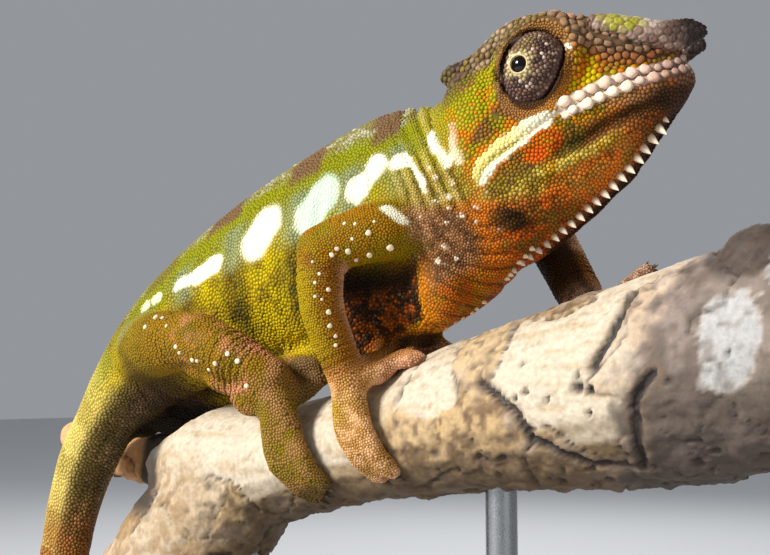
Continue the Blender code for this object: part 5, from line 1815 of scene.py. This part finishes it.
def fine_grain_group():
    """Fine, uneven grain: a colour shade near 1, a roughness and a height"""
    group, given, made = new_group(
        "fine grain",
        [("Colour", "NodeSocketColor", (0.5, 0.5, 0.5, 1)), ("Size", "NodeSocketFloat", 900.0),
         ("Shade", "NodeSocketFloat", 0.15), ("Smooth", "NodeSocketFloat", 0.4),
         ("Rough", "NodeSocketFloat", 0.6)],
        [("Colour", "NodeSocketColor"), ("Roughness", "NodeSocketFloat"), ("Height", "NodeSocketFloat")])
    nodes, links = group.nodes, group.links

    def spread(low, high):
        """The noise stretched from its usual range to one between two values"""
        node = nodes.new("ShaderNodeMapRange")
        node.inputs["From Min"].default_value = 0.3
        node.inputs["From Max"].default_value = 0.7
        links.new(noise.outputs["Fac"], node.inputs["Value"])
        links.new(low, node.inputs["To Min"])
        links.new(high, node.inputs["To Max"])
        return node.outputs["Result"]

    def beside_one(operation):
        node = nodes.new("ShaderNodeMath")
        node.operation = operation
        node.inputs[0].default_value = 1
        links.new(given.outputs["Shade"], node.inputs[1])
        return node.outputs[0]

    place = nodes.new("ShaderNodeTexCoord")
    noise = nodes.new("ShaderNodeTexNoise")
    noise.inputs["Detail"].default_value = 4
    links.new(place.outputs["Object"], noise.inputs["Vector"])
    links.new(given.outputs["Size"], noise.inputs["Scale"])
    shaded = nodes.new("ShaderNodeVectorMath")
    shaded.operation = "SCALE"
    links.new(given.outputs["Colour"], shaded.inputs[0])
    links.new(spread(beside_one("SUBTRACT"), beside_one("ADD")), shaded.inputs["Scale"])
    links.new(shaded.outputs[0], made.inputs["Colour"])
    links.new(spread(given.outputs["Smooth"], given.outputs["Rough"]), made.inputs["Roughness"])
    links.new(noise.outputs["Fac"], made.inputs["Height"])
    return group


def finish_of(name, grain, colour=None, size=900.0, shade=0.15, smooth=0.4, rough=0.6, bump=0.3, depth=0.0001,
              specular=0.5, metallic=0.0):
    """A surface finish: painted markings or one colour, with fine grain in its tone, gloss and height"""
    material = bpy.data.materials.new(name)
    material.use_nodes = True
    nodes, links = material.node_tree.nodes, material.node_tree.links
    shader = nodes["Principled BSDF"]
    fine = nodes.new("ShaderNodeGroup")
    fine.node_tree = grain
    fine.inputs["Size"].default_value = size
    fine.inputs["Shade"].default_value = shade
    fine.inputs["Smooth"].default_value = smooth
    fine.inputs["Rough"].default_value = rough
    if colour is None:
        painted = nodes.new("ShaderNodeAttribute")
        painted.attribute_name = "markings"
        links.new(painted.outputs["Color"], fine.inputs["Colour"])
    else:
        fine.inputs["Colour"].default_value = (*colour, 1)
    links.new(fine.outputs["Colour"], shader.inputs["Base Color"])
    links.new(fine.outputs["Roughness"], shader.inputs["Roughness"])
    relief = nodes.new("ShaderNodeBump")
    relief.inputs["Strength"].default_value = bump
    relief.inputs["Distance"].default_value = depth
    links.new(fine.outputs["Height"], relief.inputs["Height"])
    links.new(relief.outputs["Normal"], shader.inputs["Normal"])
    shader.inputs["Specular IOR Level"].default_value = specular
    shader.inputs["Metallic"].default_value = metallic
    return material


def make_materials():
    grain = fine_grain_group()
    return {
        "skin": finish_of("skin between scales", grain, size=1400, smooth=0.55, rough=0.75, specular=0.12),
        "scales": finish_of("scales", grain, size=1500, shade=0.1, smooth=0.36, rough=0.55, bump=0.25,
                            depth=0.00005, specular=0.08),
        "horn scales": finish_of("horn scales", grain, size=1200, shade=0.16, smooth=0.34, rough=0.55,
                                 bump=0.4, depth=0.00008, specular=0.3),
        "turret": finish_of("turret skin", grain, size=1800, shade=0.15, smooth=0.3, rough=0.5),
        "eye": finish_of("eye gloss", grain, size=300, shade=0.02, smooth=0.06, rough=0.09, bump=0.0,
                         specular=0.3),
        "claw": finish_of("claw horn", grain, colour=tone(74, 56, 42), size=700, shade=0.35, smooth=0.25,
                          rough=0.45),
        "wood": finish_of("dead wood", grain, size=850, shade=0.2, smooth=0.6, rough=0.9, bump=0.55,
                          depth=0.0003),
        "base": finish_of("base paint", grain, colour=tone(52, 54, 56), size=1500, shade=0.12, smooth=0.45,
                          rough=0.6, bump=0.35, depth=0.00008),
        "steel": finish_of("rod steel", grain, colour=tone(150, 152, 154), size=2600, shade=0.12, smooth=0.22,
                           rough=0.4, bump=0.1, depth=0.00004, metallic=1.0),
        "floor": finish_of("floor", grain, colour=(0.62, 0.63, 0.64), size=3.0, shade=0.01, smooth=0.7,
                           rough=0.8, bump=0.0),
    }


# ---- studio

CAMERA_PLACE = (0.168, -0.216, 0.140)
CAMERA_HEADING = 35.0
CAMERA_TILT = 5.71
LENS = 51.43


def make_studio(materials):
    data = bpy.data.cameras.new("camera")
    data.lens = LENS
    data.sensor_width = 36
    data.clip_start = 0.01
    camera = bpy.data.objects.new("camera", data)
    camera.location = CAMERA_PLACE
    camera.rotation_euler = (math.radians(90 + CAMERA_TILT), 0, math.radians(CAMERA_HEADING))
    bpy.context.scene.collection.objects.link(camera)
    bpy.context.scene.camera = camera

    floor = write_mesh("floor", np.array([(-4, -4, 0), (4, -4, 0), (4, 4, 0), (-4, 4, 0)]) / MM,
                       np.array([(0, 1, 2), (0, 2, 3)]))
    ground = bpy.data.objects.new("floor", floor)
    floor.materials.append(materials["floor"])
    bpy.context.scene.collection.objects.link(ground)

    world = bpy.data.worlds.new("studio air")
    world.use_nodes = True
    world.node_tree.nodes["Background"].inputs["Color"].default_value = (0.86, 0.9, 0.96, 1)
    world.node_tree.nodes["Background"].inputs["Strength"].default_value = 0.34
    bpy.context.scene.world = world
    subject = Vector((0.03, 0, 0.15))
    for name, place, size, power in (
        ("key", (-0.42, -0.86, 0.66), 0.26, 21.0),
        ("fill", (0.95, -0.35, 0.35), 0.7, 1.2),
        ("rim", (-0.3, 0.8, 0.7), 0.6, 4.0),
    ):
        light = bpy.data.lights.new(name, "AREA")
        light.size = size
        light.energy = power
        lamp = bpy.data.objects.new(name, light)
        lamp.location = place
        lamp.rotation_euler = (subject - Vector(place)).to_track_quat("-Z", "Y").to_euler()
        bpy.context.scene.collection.objects.link(lamp)
    bpy.context.scene.view_settings.view_transform = "Standard"


def main():
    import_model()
    materials = make_materials()
    make_studio(materials)
    skin = make_skin()
    ground = markings(skin.points, skin.weights, np.full(len(skin.points), 0.5))
    light = ground.mean(axis=1, keepdims=True)
    ground = ground * (0.4 + 0.45 * ramp(0.25, 0.6, light))
    piece("skin", skin.points, skin.triangles, ground, materials["skin"], "body_skin", skin.names)
    unwrap = Unwrap(skin)
    make_coat(skin, unwrap, materials)
    make_crest(skin, materials)
    for side in SIDES:
        make_eye(side, unwrap, materials)
    make_horns(materials)
    make_claws(materials)
    make_bough(materials)
    make_stand(materials)


main()
